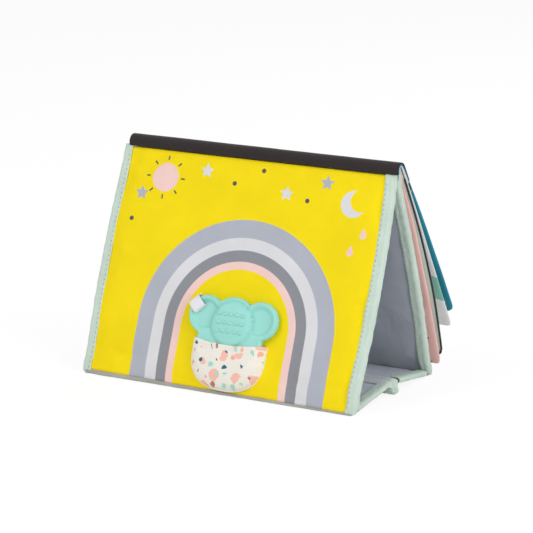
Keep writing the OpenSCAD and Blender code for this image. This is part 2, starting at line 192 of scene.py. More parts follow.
def add(
    tree: bpy.types.NodeTree, kind: str, inputs: dict[int | str, object] | None = None,
    **settings: object,
) -> bpy.types.Node:
    """Adds a node with its settings, and fills its inputs with values or links.

    Args:
        tree: Node tree that gets the node.
        kind: Type of node, without the ShaderNode prefix.
        inputs: Socket names or numbers, each with a value or an output socket.
        **settings: Properties of the node.

    Returns:
        The new node.
    """
    node = tree.nodes.new("ShaderNode" + kind)
    for name, value in settings.items():
        setattr(node, name, value)
    for key, value in (inputs or {}).items():
        if isinstance(value, Socket):
            tree.links.new(value, node.inputs[key])
        else:
            node.inputs[key].default_value = value
    return node


def add_colour(tree: bpy.types.NodeTree, colour: str) -> Socket:
    """Gives one flat colour that a pattern is laid over.

    Args:
        tree: Node tree that gets the node.
        colour: The colour, as sRGB hex.

    Returns:
        The colour's output.
    """
    socket = add(tree, "RGB").outputs[0]
    socket.default_value = linear(colour)
    return socket


class Sketch:
    """Arithmetic on the coordinates of a pattern, written as shader nodes."""

    def __init__(self, tree: bpy.types.NodeTree, vector: Socket) -> None:
        """Reads a position on the cloth, and turns it to millimetres.

        Args:
            tree: Node tree of the material.
            vector: The position, in metres.
        """
        self.tree = tree
        big = add(tree, "VectorMath", {0: vector, 1: (1 / MM,) * 3}, operation="MULTIPLY")
        self.point = big.outputs[0]
        parts = add(tree, "SeparateXYZ", {0: self.point})
        self.x, self.y = parts.outputs[0], parts.outputs[1]

    def calc(self, operation: str, *values: float | Socket) -> Socket:
        """Does one sum.

        Args:
            operation: Name of the sum; with :clamp after it, the result stays from 0 to 1.
            *values: Numbers and sockets that it is done on.

        Returns:
            The result.
        """
        name, _, clamp = operation.partition(":")
        inputs = dict(enumerate(values))
        return add(self.tree, "Math", inputs, operation=name, use_clamp=bool(clamp)).outputs[0]

    def inside(self, distance: Socket, edge: float = 0.3) -> Socket:
        """Mask that is 1 where a signed distance is negative, with a soft edge."""
        return self.calc("MULTIPLY_ADD:clamp", distance, -0.5 / edge, 0.5)

    def from_point(self, x: float, y: float) -> tuple[Socket, Socket, Socket]:
        """Measures from a point of the pattern.

        Args:
            x: Its place across, in millimetres.
            y: Its place up.

        Returns:
            Offset across, offset up and distance.
        """
        dx, dy = self.calc("SUBTRACT", self.x, x), self.calc("SUBTRACT", self.y, y)
        squares = self.calc("MULTIPLY_ADD", dx, dx, self.calc("MULTIPLY", dy, dy))
        return dx, dy, self.calc("SQRT", squares)

    def disc(self, x: float, y: float, r: float) -> Socket:
        """Mask of a round spot."""
        return self.inside(self.calc("SUBTRACT", self.from_point(x, y)[2], r))

    def star(self, x: float, y: float, r: float, waist: float = 0.48) -> Socket:
        """Draws a star with five points, folded onto one half of a point.

        Args:
            x: Its place across, in millimetres.
            y: Its place up.
            r: Distance from its middle to its points.
            waist: Share of that at the notches.

        Returns:
            The mask.
        """
        dx, dy, reach = self.from_point(x, y)
        turn = self.calc("ARCTAN2", dx, dy)
        fold = self.calc("PINGPONG", turn, math.pi / 5)
        near = self.calc("MULTIPLY", reach, self.calc("COSINE", fold))
        off = self.calc("MULTIPLY", reach, self.calc("SINE", fold))
        run = r * (1 - waist * math.cos(math.pi / 5))
        rise = r * waist * math.sin(math.pi / 5)
        size = math.hypot(run, rise)
        across = self.calc("MULTIPLY", self.calc("SUBTRACT", near, r), rise / size)
        return self.inside(self.calc("MULTIPLY_ADD", off, run / size, across))

    def drop(self, x: float, y: float, r: float) -> Socket:
        """Draws a rain drop with its point up: a ball under a cone.

        Args:
            x: Its place across, in millimetres.
            y: Its place up.
            r: Radius of its round part.

        Returns:
            The mask.
        """
        dx, dy, reach = self.from_point(x, y)
        side = self.calc("MULTIPLY", self.calc("ABSOLUTE", dx), 2.0)
        cone = self.calc("SUBTRACT", self.calc("ADD", side, dy), 2.3 * r)
        cone = self.calc("MAXIMUM", cone, self.calc("SUBTRACT", 0.3 * r, dy))
        ball = self.calc("SUBTRACT", reach, r)
        return self.inside(self.calc("MINIMUM", ball, cone))

    def over(self, below: Socket, mask: Socket, colour: str) -> Socket:
        """Lays ink of one colour over what is there, where the mask is 1."""
        return add(
            self.tree, "Mix", {0: mask, 6: below, 7: linear(colour)}, data_type="RGBA"
        ).outputs[2]


@dataclass(frozen=True)
class Cloth:
    """Woven polyester or cotton: matt, with threads, soft rumples and a little sheen."""

    name: str
    colour: str
    roughness: float = 0.82
    sheen: float = 0.18
    thread: float = 1.1
    thread_depth: float = 0.05
    gloss: float = 0.3
    rumple: float = 0.35
    rumple_size: float = 22.0
    mottle: float = 0.05
    mottle_size: float = 40.0

    def paint(self, art: Sketch) -> Socket | None:
        """Colour of the cloth where it isn't plain."""
        return None

    def build(self) -> bpy.types.Material:
        """Makes the material.

        Returns:
            The material, or the one of that name that is there already.
        """
        if self.name in bpy.data.materials:
            return bpy.data.materials[self.name]
        material = bpy.data.materials.new(self.name)
        material.use_nodes = True
        tree = material.node_tree
        tree.nodes.clear()
        where = add(tree, "Attribute", attribute_name="cloth").outputs["Vector"]
        art = Sketch(tree, where)
        colour = self.paint(art)
        # slow change of depth in the dye, as large as a hand
        cloudy = add(
            tree, "TexNoise",
            {"Vector": art.point, "Scale": 1 / self.mottle_size, "Detail": 3.0},
        )
        shade = add(
            tree, "MapRange",
            {0: cloudy.outputs[0], 1: 0.3, 2: 0.7, 3: 1 - self.mottle, 4: 1 + self.mottle * 0.4},
        ).outputs[0]
        dyed = add(
            tree, "Mix", {0: 1.0, 6: colour or linear(self.colour), 7: shade},
            data_type="RGBA", blend_type="MULTIPLY",
        ).outputs[2]
        # threads crossing, and rumples the size of a finger
        turn = 2 * math.pi / self.thread
        warp = art.calc("SINE", art.calc("MULTIPLY", art.x, turn))
        weft = art.calc("SINE", art.calc("MULTIPLY", art.y, turn))
        weave = art.calc("MULTIPLY_ADD", art.calc("MULTIPLY", warp, weft), 0.5, 0.5)
        rumple = add(
            tree, "TexNoise",
            {"Vector": art.point, "Scale": 1 / self.rumple_size, "Detail": 2.0, "Distortion": 0.6},
        ).outputs[0]
        soft = add(tree, "Bump", {"Strength": 1.0, "Distance": self.rumple * MM, "Height": rumple})
        fine = add(
            tree, "Bump",
            {"Strength": 1.0, "Distance": self.thread_depth * MM, "Height": weave,
             "Normal": soft.outputs[0]},
        )
        skin = add(
            tree, "BsdfPrincipled",
            {"Base Color": dyed, "Roughness": self.roughness, "IOR": FIBRE_IOR,
             "Specular IOR Level": self.gloss, "Sheen Weight": self.sheen, "Sheen Roughness": 0.5,
             "Normal": fine.outputs[0]},
        )
        add(tree, "OutputMaterial", {"Surface": skin.outputs[0]})
        return material


SLATE_INK, PALE_INK, GREY_INK = "#b1b5c1", "#dcdce0", "#8e9097"
BLUSH_INK, CHARCOAL_INK = "#f3cfc9", "#57545a"


@dataclass(frozen=True)
class PrintedCover(Cloth):
    """Yellow cloth with screen-printed sky: rainbow, sun, moon, stars and rain."""

    rainbow_x: float = 8.0
    rainbow_v: float = 58.0
    rainbow_r: float = 97.0
    stripes: tuple[tuple[float, str], ...] = (
        (16.0, SLATE_INK), (11.0, PALE_INK), (10.0, GREY_INK), (7.0, BLUSH_INK),
    )
    sky_x: float = 117.0
    sky_v: float = 180.75
    sky_h: float = 51.5
    sun_r: float = 13.0
    sun_v: float = 183.75
    moon_r: float = 12.0
    star_r: float = 7.0
    dot_r: float = 3.0
    slate_stars: Spots = ((-0.93, -0.26), (0.62, 0.28))
    pale_stars: Spots = ((-0.4, 0.25), (0.3, 0.02))
    drops: Spots = ((0.98, -0.53), (0.9, -0.84))
    dots: Spots = ((-0.15, 0.09), (0.48, -0.06), (-0.98, -0.72), (0.08, 0.36))
    moon: tuple[float, float] = (0.86, -0.02)
    sun: float = -0.75

    def spot(self, share_x: float, share_v: float) -> tuple[float, float]:
        """Place in the sky from shares of its half width and height."""
        return share_x * self.sky_x, self.sky_v + share_v * self.sky_h

    def paint(self, art: Sketch) -> Socket:
        """Prints fields of flat ink, each over the one before.

        Args:
            art: The pattern's coordinates.

        Returns:
            The colour at each point.
        """
        dx = art.calc("SUBTRACT", art.x, self.rainbow_x)
        dv = art.calc("MAXIMUM", art.calc("SUBTRACT", art.y, self.rainbow_v), 0.0)
        squares = art.calc("MULTIPLY_ADD", dx, dx, art.calc("MULTIPLY", dv, dv))
        reach = art.calc("SQRT", squares)
        ink = add_colour(art.tree, self.colour)
        edge = self.rainbow_r
        for width, colour in (*self.stripes, (0.0, self.colour)):
            ink = art.over(ink, art.inside(art.calc("SUBTRACT", reach, edge)), colour)
            edge -= width
        for spots, colour in ((self.slate_stars, SLATE_INK), (self.pale_stars, PALE_INK)):
            for share in spots:
                ink = art.over(ink, art.star(*self.spot(*share), self.star_r), colour)
        x, v = self.spot(*self.moon)
        bite = art.disc(x + 0.55 * self.moon_r, v + 0.3 * self.moon_r, 0.85 * self.moon_r)
        moon = art.calc("SUBTRACT:clamp", art.disc(x, v, self.moon_r), bite)
        ink = art.over(ink, moon, PALE_INK)
        sun_x = self.sun * self.sky_x
        ink = art.over(ink, art.disc(sun_x, self.sun_v, self.sun_r), BLUSH_INK)
        ink = art.over(ink, self.rays(art, sun_x), CHARCOAL_INK)
        for share in self.drops:
            ink = art.over(ink, art.drop(*self.spot(*share), self.dot_r), BLUSH_INK)
        for share in self.dots:
            ink = art.over(ink, art.disc(*self.spot(*share), 0.7 * self.dot_r), CHARCOAL_INK)
        return ink

    def rays(self, art: Sketch, x: float) -> Socket:
        """Draws the eight short rays around the sun, folded onto one half of a ray.

        Args:
            art: The pattern's coordinates.
            x: The sun's place across.

        Returns:
            The mask.
        """
        dx, dy, reach = art.from_point(x, self.sun_v)
        fold = art.calc("PINGPONG", art.calc("ARCTAN2", dx, dy), math.pi / 8)
        off = art.calc("MULTIPLY", reach, art.calc("SINE", fold))
        beside = art.calc("SUBTRACT", off, 0.25 * self.dot_r)
        beyond = art.calc("ABSOLUTE", art.calc("SUBTRACT", reach, 1.35 * self.sun_r))
        beyond = art.calc("SUBTRACT", beyond, 0.15 * self.sun_r)
        return art.inside(art.calc("MAXIMUM", beside, beyond))


@dataclass(frozen=True)
class Terrazzo(Cloth):
    """Cream cotton printed with large soft blush chips and small ones in four colours."""

    large: float = 15.0
    small: float = 8.0
    blush: str = "#f7c0b0"
    chips: tuple[str, ...] = ("#c07a5c", "#f4b5a3", "#2f6684", "#a6dccf")
    bend: float = 2.0
    bend_scale: float = 0.33

    def paint(self, art: Sketch) -> Socket:
        """Scatters two sizes of chips, and leaves some cells bare.

        Args:
            art: The pattern's coordinates.

        Returns:
            The colour at each point.
        """
        wobble = add(
            art.tree, "TexNoise",
            {"Vector": art.point, "Scale": self.bend_scale, "Detail": 1.0},
        )
        bent = add(
            art.tree, "VectorMath",
            {0: wobble.outputs[1], 1: (self.bend,) * 3, 2: art.point}, operation="MULTIPLY_ADD",
        ).outputs[0]
        ink = add_colour(art.tree, self.colour)
        ink = self.layer(art, bent, ink, self.large, (self.blush,), inset=0.12, share=0.8)
        return self.layer(art, bent, ink, self.small, self.chips, inset=0.16, share=0.7)

    def layer(
        self, art: Sketch, place: Socket, below: Socket, size: float, inks: Sequence[str],
        inset: float, share: float,
    ) -> Socket:
        """Chips of one size.

        Args:
            art: The pattern's coordinates.
            place: Those coordinates with a wobble, which rounds the chips.
            below: Colour that the chips lie on.
            size: Distance between chips.
            inks: Their colours, which share the chips out evenly.
            inset: Share of a cell's size that its chip stays off its edge.
            share: Share of the cells that have a chip; the others keep what is below.

        Returns:
            The colour with the chips on it.
        """
        cells = {"Vector": place, "Scale": 1 / size, "Randomness": 1.0}
        cell = add(art.tree, "TexVoronoi", cells, voronoi_dimensions="2D")
        rim = add(
            art.tree, "TexVoronoi", cells, voronoi_dimensions="2D", feature="DISTANCE_TO_EDGE"
        ).outputs[0]
        luck = add(art.tree, "SeparateColor", {0: cell.outputs["Color"]})
        need = art.calc("MULTIPLY_ADD", luck.outputs[1], 0.2, inset)
        # off the cell's edge and near its seed, so that the corners are worn round
        disc = art.calc("SUBTRACT", art.calc("SUBTRACT", 0.5, need), cell.outputs["Distance"])
        chip = art.calc("MINIMUM", art.calc("SUBTRACT", rim, need), disc)
        mask = art.calc("MULTIPLY_ADD:clamp", chip, 22.0, 0.5)
        mask = art.calc("MULTIPLY", mask, art.calc("LESS_THAN", luck.outputs[0], share))
        ramp = add(art.tree, "ValToRGB", {0: art.calc("DIVIDE", luck.outputs[0], share)})
        ramp.color_ramp.interpolation = "CONSTANT"
        while len(ramp.color_ramp.elements) < len(inks):
            ramp.color_ramp.elements.new(1.0)
        for i, element in enumerate(ramp.color_ramp.elements):
            element.position = i / len(inks)
            element.color = linear(inks[min(i, len(inks) - 1)])
        return add(
            art.tree, "Mix", {0: mask, 6: below, 7: ramp.outputs[0]}, data_type="RGBA"
        ).outputs[2]


@dataclass(frozen=True)
class Chevron(Cloth):
    """White cloth with a bold black zigzag, which a baby sees best."""

    ink: str = "#26262a"
    pitch: float = 26.0
    wave: float = 44.0
    slope: float = 0.55
    bar_share: float = 0.17

    def paint(self, art: Sketch) -> Socket:
        """Prints zigzag stripes of one width.

        Args:
            art: The pattern's coordinates.

        Returns:
            The colour at each point.
        """
        zig = art.calc("MULTIPLY", art.calc("PINGPONG", art.x, self.wave / 2), self.slope)
        level = art.calc("PINGPONG", art.calc("ADD", art.y, zig), self.pitch / 2)
        bar = art.inside(art.calc("SUBTRACT", level, self.pitch * self.bar_share))
        return art.over(add_colour(art.tree, self.colour), bar, self.ink)


@dataclass(frozen=True)
class Spotted(Cloth):
    """Plain cloth with small printed spots in a staggered grid."""

    ink: str = "#8a4a4c"
    pitch: float = 16.0
    spot_r: float = 1.6

    def paint(self, art: Sketch) -> Socket:
        """Prints spots at the corners and the middle of square cells.

        Args:
            art: The pattern's coordinates.

        Returns:
            The colour at each point.
        """
        ink = add_colour(art.tree, self.colour)
        for shift in (0.0, self.pitch / 2):
            across = art.calc("PINGPONG", art.calc("ADD", art.x, shift), self.pitch / 2)
            along = art.calc("PINGPONG", art.calc("ADD", art.y, shift), self.pitch / 2)
            squares = art.calc("MULTIPLY_ADD", across, across, art.calc("MULTIPLY", along, along))
            reach = art.calc("SUBTRACT", art.calc("SQRT", squares), self.spot_r)
            ink = art.over(ink, art.inside(reach), self.ink)
        return ink


@dataclass(frozen=True)
class Banded(Cloth):
    """Plain cloth with one broad printed band that waves across it."""

    ink: str = "#8cc2b6"
    band_y: float = 148.0
    band_half: float = 15.0
    wave: float = 90.0
    swing: float = 6.0

    def paint(self, art: Sketch) -> Socket:
        """Prints the band, with both edges on the same wave.

        Args:
            art: The pattern's coordinates.

        Returns:
            The colour at each point.
        """
        swing = art.calc("SINE", art.calc("MULTIPLY", art.x, 2 * math.pi / self.wave))
        level = art.calc("MULTIPLY_ADD", swing, self.swing, art.y)
        off = art.calc("SUBTRACT", level, self.band_y)
        mask = art.inside(art.calc("SUBTRACT", art.calc("ABSOLUTE", off), self.band_half))
        return art.over(add_colour(art.tree, self.colour), mask, self.ink)


@dataclass(frozen=True)
class Silicone:
    """Satin moulded silicone: soft broad gloss, and light that goes a little way in."""

    name: str
    colour: str
    roughness: float = 0.42

    def build(self) -> bpy.types.Material:
        """Makes the material.

        Returns:
            The material, or the one of that name that is there already.
        """
        if self.name in bpy.data.materials:
            return bpy.data.materials[self.name]
        material = bpy.data.materials.new(self.name)
        material.use_nodes = True
        tree = material.node_tree
        tree.nodes.clear()
        where = add(tree, "TexCoord").outputs["Object"]
        # fine grain of the mould, and dust that dulls it in patches
        grain = add(tree, "TexNoise", {"Vector": where, "Scale": 900.0, "Detail": 2.0}).outputs[0]
        patches = add(tree, "TexNoise", {"Vector": where, "Scale": 45.0, "Detail": 2.0}).outputs[0]
        rough = add(
            tree, "MapRange",
            {0: patches, 1: 0.3, 2: 0.7, 3: self.roughness - 0.05, 4: self.roughness + 0.07},
        ).outputs[0]
        bump = add(tree, "Bump", {"Strength": 1.0, "Distance": 0.00003, "Height": grain})
        skin = add(
            tree, "BsdfPrincipled",
            {"Base Color": linear(self.colour), "Roughness": rough, "IOR": SILICONE_IOR,
             "Subsurface Weight": 0.15, "Subsurface Radius": (0.002, 0.003, 0.003),
             "Subsurface Scale": 0.8, "Normal": bump.outputs[0]},
        )
        add(tree, "OutputMaterial", {"Surface": skin.outputs[0]})
        return material


# Screen-printed polyester satin: flat strong yellow with a dull highlight, and inks with
# crisp edges that lie in the weave.
YELLOW = PrintedCover(
    "yellow_printed_satin", "#f6dc08", roughness=0.62, sheen=0.0, gloss=0.16, mottle=0.05,
)
# Polyester taffeta: the same cloth as the lining, with painted light: a lighter copy of its
# colour for the base, standing in for the light that falls on it from above. Thin and smooth,
# so its puckers catch soft grey lights.
BASE_LINING_PAINTED_LIGHTER = Cloth(
    "grey_taffeta_base", "#c6cbd4", roughness=0.5, sheen=0.1, thread=0.8, thread_depth=0.02,
    rumple=1.6, rumple_size=20.0, mottle=0.1,
)
# Polyester twill: pale and matt, for the rear cover's outer face.
BACKING = Cloth("pale_back_twill", "#cdcfd4")
# Polyester taffeta: smooth grey with broad soft lights on its folds.
LINING = Cloth(
    "grey_taffeta_lining", "#b3b8c3", roughness=0.5, sheen=0.1, thread=0.8, thread_depth=0.02,
    rumple=1.6, rumple_size=24.0, mottle=0.12,
)
# Raw cotton twill: greyish beige and crumpled, a dull thin line along the foot.
HEM = Cloth("beige_hem_twill", "#a9a8a1", rumple=1.2, rumple_size=6.0, mottle=0.2)
# Folded cotton bias tape: matt pale mint, with a coarse weave and small puckers that make
# its edges look hand-sewn.
MINT = Cloth(
    "mint_folded_tape", "#cbdcd0", sheen=0.1, thread=1.5, thread_depth=0.13, rumple=0.9,
    rumple_size=5.0, mottle=0.1,
)
# Woven polyester tape: nearly black and a little warm, with a weave that greys its lit side.
CHARCOAL = Cloth("charcoal_ridge_tape", "#2a2223", thread=1.3, thread_depth=0.1, sheen=0.12)
# Spun polyester thread: darker than the tape, so that the stitches read as short dashes.
THREAD = Cloth("mint_sewing_thread", "#9db5a8", roughness=0.6, thread_depth=0.0, rumple=0.0)
# Printed cotton: matt blush with a few small dark spots at the edge.
PINK = Spotted("pink_spotted_cotton", "#f3c3be", pitch=28.0, spot_r=1.3)
# Plain cotton: matt and very pale, between the pink leaf and its dark edge.
MINT_LEAF = Cloth("pale_mint_cotton", "#d9ebe0")
# Printed cotton: warm near-white with one green band that shows below the teal tape.
GREY_LEAF = Banded("warm_grey_cotton", "#ebe7e9")
# Printed cotton: black zigzag on white, the strongest contrast of the four leaves.
CONTRAST = Chevron("zigzag_contrast_cotton", "#efeeec")
# Folded cotton tape: deep teal with a fine weave, a clean line around the outer leaf.
TEAL = Cloth(
    "teal_folded_tape", "#07899f", thread=1.3, thread_depth=0.08, rumple=0.4, rumple_size=8.0,
)
# Overlocked polyester thread: a thin dark edge, rough with loops.
OVERLOCK = Cloth("black_overlock_thread", "#2b2a2c", thread=0.9, thread_depth=0.15, rumple=0.0)
# Printed cotton: cream with soft coloured chips, rumpled over the padding.
POCKET = Terrazzo("terrazzo_cotton", "#f1ece3", rumple=0.7, rumple_size=13.0)
# Cotton piping: cream, a thin round line around the pocket.
PIPING = Cloth("cream_piping", "#ece6da", rumple=0.2)
# Woven satin ribbon: white with a soft gloss across its folds.
SATIN = Cloth("white_satin_ribbon", "#e8e6ec", roughness=0.38, thread=0.6, thread_depth=0.03)
# Moulded silicone, satin from its mould: smooth lights and a little depth at the rims.
AQUA = Silicone("aqua_silicone", "#98dbd1")


# ---------------------------------------------------------------- making meshes


def smooth(value: float) -> float:
    """Eases a value from 0 to 1, and holds it outside that range."""
    value = min(max(value, 0.0), 1.0)
    return value * value * (3 - 2 * value)


def ripple(x: float, y: float, size: float, seed: float = 0.0) -> float:
    """Soft noise between about -1 and 1 over the cloth, with waves of a given size."""
    return noise.noise(Vector((x / size, y / size, seed)))


def slab(across: int, along: int, place: Place, lay: Place | None = None) -> bmesh.types.BMesh:
    """Closes a grid to a slab and sets each of its points.

    Args:
        across: Cells from side to side.
        along: Cells from end to end.
        place: Point for u and v from 0 to 1 and w, 0 on the outer and 1 on the inner face.
        lay: Place on the cloth for the pattern, where it isn't the point itself.

    Returns:
        The mesh, with outer faces in material slot 0, inner ones in 1 and the rim in 2.
    """
    bm = bmesh.new()
    bmesh.ops.create_grid(bm, x_segments=across, y_segments=along, size=0.5)
    bmesh.ops.solidify(bm, geom=bm.faces[:], thickness=1.0)
    grid = bm.verts.layers.float_vector.new("grid")
    cloth = bm.verts.layers.float_vector.new("cloth")
    for face in bm.faces:
        depth = abs(sum(vert.co.z for vert in face.verts)) / len(face.verts)
        face.material_index = 0 if depth < 0.25 else 1 if depth > 0.75 else 2
    for vert in bm.verts:
        spot = (vert.co.x + 0.5, vert.co.y + 0.5, round(abs(vert.co.z)))
        vert[grid] = spot
        vert.co = place(*spot)
        vert[cloth] = Vector(lay(*spot) if lay else vert.co) * MM
    return bm


def around_edge(turn: float, half: float, reach: float, lift: float) -> tuple[float, float]:
    """Point on tape that is folded around a straight edge.

    Args:
        turn: From 0 at the tape's edge on the outer face to 1 at its edge on the inner face.
        half: Half the thickness of what the tape is folded around.
        reach: Width of the tape on each face.
        lift: Distance from the edge's surface.

    Returns:
        Distance inwards from the outermost line, and height over the middle of the thickness.
    """
    flat = reach - half
    length = 2 * flat + math.pi * half
    run, r = turn * length, half + lift
    if run < flat:
        return reach - run, r
    if run > length - flat:
        return reach - (length - run), -r
    angle = (run - flat) / half
    return half - r * math.sin(angle), r * math.cos(angle)


def fix_order(bm: bmesh.types.BMesh) -> None:
    """Sorts a mesh, because the operators' own order changes from run to run.

    Args:
        bm: Mesh whose points, edges and faces are sorted by place, so that the simulation gives
            the same result each time.
    """
    for rank, vert in enumerate(sorted(bm.verts, key=lambda vert: tuple(vert.co))):
        vert.index = rank
    for parts in (bm.edges, bm.faces):
        ranked = sorted(parts, key=lambda part: sorted(vert.index for vert in part.verts))
        for rank, part in enumerate(ranked):
            part.index = rank
        parts.sort()
    bm.verts.sort()


def make_piece(
    name: str, bm: bmesh.types.BMesh, frame: Matrix, finishes: Sequence[Cloth | Silicone],
    levels: int = 0,
) -> bpy.types.Object:
    """Turns a mesh into an object at the origin with its materials.

    Args:
        name: Name of the piece.
        bm: Closed mesh in millimetres, which is used up.
        frame: Place of the mesh, with the scale to metres.
        finishes: Finishes by material slot; the last is used for any slot past it.
        levels: Rounds of subdivision.

    Returns:
        The object.
    """
    bmesh.ops.remove_doubles(bm, verts=bm.verts, dist=0.002)
    bmesh.ops.transform(bm, matrix=frame, verts=bm.verts)
    bmesh.ops.recalc_face_normals(bm, faces=bm.faces)
    fix_order(bm)
    for face in bm.faces:
        face.smooth = True
        face.material_index = min(face.material_index, len(finishes) - 1)
    mesh = bpy.data.meshes.new(name)
    bm.to_mesh(mesh)
    bm.free()
    for finish in finishes:
        mesh.materials.append(finish.build())
    piece = bpy.data.objects.new(name, mesh)
    bpy.context.scene.collection.objects.link(piece)
    if levels:
        subdivide(piece, levels)
    return piece


def settle(piece: bpy.types.Object) -> bpy.types.Mesh:
    """Replaces a piece's mesh by the result of its modifiers.

    Args:
        piece: Piece whose modifiers are done.

    Returns:
        The new mesh.
    """
    depsgraph = bpy.context.evaluated_depsgraph_get()
    done = bpy.data.meshes.new_from_object(piece.evaluated_get(depsgraph))
    piece.modifiers.clear()
    old, piece.data = piece.data, done
    bpy.data.meshes.remove(old)
    done.name = piece.name
    return done


def subdivide(piece: bpy.types.Object, levels: int) -> None:
    """Rounds a piece by subdivision.

    Args:
        piece: Piece to round.
        levels: Rounds of subdivision.
    """
    modifier = piece.modifiers.new("round", "SUBSURF")
    modifier.levels = modifier.render_levels = levels
    settle(piece)


@dataclass(frozen=True)
class Stuffing:
    """How hard a cloth case is filled, how far it may move and how the cloth gives."""

    pressure: float
    cap: float
    slack: float = 0.02
    frames: int = 16
    quality: int = 4
    mass: float = 0.2
    stretch: float = 12.0
    shear: float = 6.0
    bend: float = 0.4


def stuff(
    piece: bpy.types.Object, sewn: Callable[[float, float, float], bool], how: Stuffing
) -> None:
    """Fills a closed cloth piece by simulation, held where it is sewn.

    Args:
        piece: Closed piece made by slab().
        sewn: Tells from grid place whether a point is held by a seam.
        how: Pressure of the filling, the farthest that a point may move in millimetres, the
            share by which the cloth is larger than its place, and the steps of simulation.
    """
    mesh = piece.data
    count = len(mesh.vertices)
    grid = np.empty(count * 3, np.float32)
    mesh.attributes["grid"].data.foreach_get("vector", grid)
    start = np.empty(count * 3, np.float32)
    mesh.vertices.foreach_get("co", start)
    held = [i for i, spot in enumerate(grid.reshape(-1, 3)) if sewn(*spot)]
    piece.vertex_groups.new(name="seam").add(held, 1.0, "REPLACE")
    cloth = piece.modifiers.new("stuffing", "CLOTH")
    rules = cloth.settings
    rules.quality, rules.mass = how.quality, how.mass
    rules.tension_stiffness = rules.compression_stiffness = how.stretch
    rules.shear_stiffness, rules.bending_stiffness = how.shear, how.bend
    rules.vertex_group_mass = "seam"
    rules.use_pressure, rules.uniform_pressure_force = True, how.pressure
    rules.shrink_min = -how.slack
    rules.effector_weights.gravity = 0
    cloth.collision_settings.use_collision = False
    cloth.point_cache.frame_start, cloth.point_cache.frame_end = 1, how.frames
    for step in range(1, how.frames + 1):
        bpy.context.scene.frame_set(step)
    depsgraph = bpy.context.evaluated_depsgraph_get()
    filled = np.empty(count * 3, np.float32)
    piece.evaluated_get(depsgraph).data.vertices.foreach_get("co", filled)
    piece.modifiers.clear()
    piece.vertex_groups.clear()
    bpy.context.scene.frame_set(1)
    moved = (filled - start).reshape(-1, 3)
    far = np.linalg.norm(moved, axis=1, keepdims=True)
    limit = how.cap * MM
    moved *= limit * np.tanh(far / limit) / np.maximum(far, 1e-9)
    mesh.vertices.foreach_set("co", start + moved.ravel())
    mesh.update()


def stitches(points: Sequence[tuple[Vector, Vector]], length: float = 1.9) -> bmesh.types.BMesh:
    """Short stitches that lie on cloth.

    Args:
        points: Middle of each stitch and the way that it runs, in millimetres.
        length: Length of a stitch.

    Returns:
        One mesh with all the stitches.
    """
    bm = bmesh.new()
    cloth = bm.verts.layers.float_vector.new("cloth")
    for middle, way in points:
        turn = way.to_track_quat("X", "Z").to_matrix().to_4x4()
        shape = Matrix.Diagonal((length / 2, *THREAD_HALF, 1))
        made = bmesh.ops.create_uvsphere(
            bm, u_segments=6, v_segments=4, radius=1.0,
            matrix=Matrix.Translation(middle) @ turn @ shape,
        )
        for vert in made["verts"]:
            vert[cloth] = vert.co * MM
    return bm


def dress(
    piece: bpy.types.Object, body: str, slot: str, nodes: Sequence[str] = (),
) -> bpy.types.Object:
    """Gives a piece its place in the model.

    Args:
        piece: Piece to place.
        body: Body that it rides on.
        slot: Its material slot; not used.
        nodes: Solids that it stands for.

    Returns:
        The piece.
    """
    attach(piece, body)
    if nodes:
        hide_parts(*nodes)
    LOG.info("%s rides on %s, %d faces", piece.name, body, len(piece.data.polygons))
    return piece


# ---------------------------------------------------------------- covers


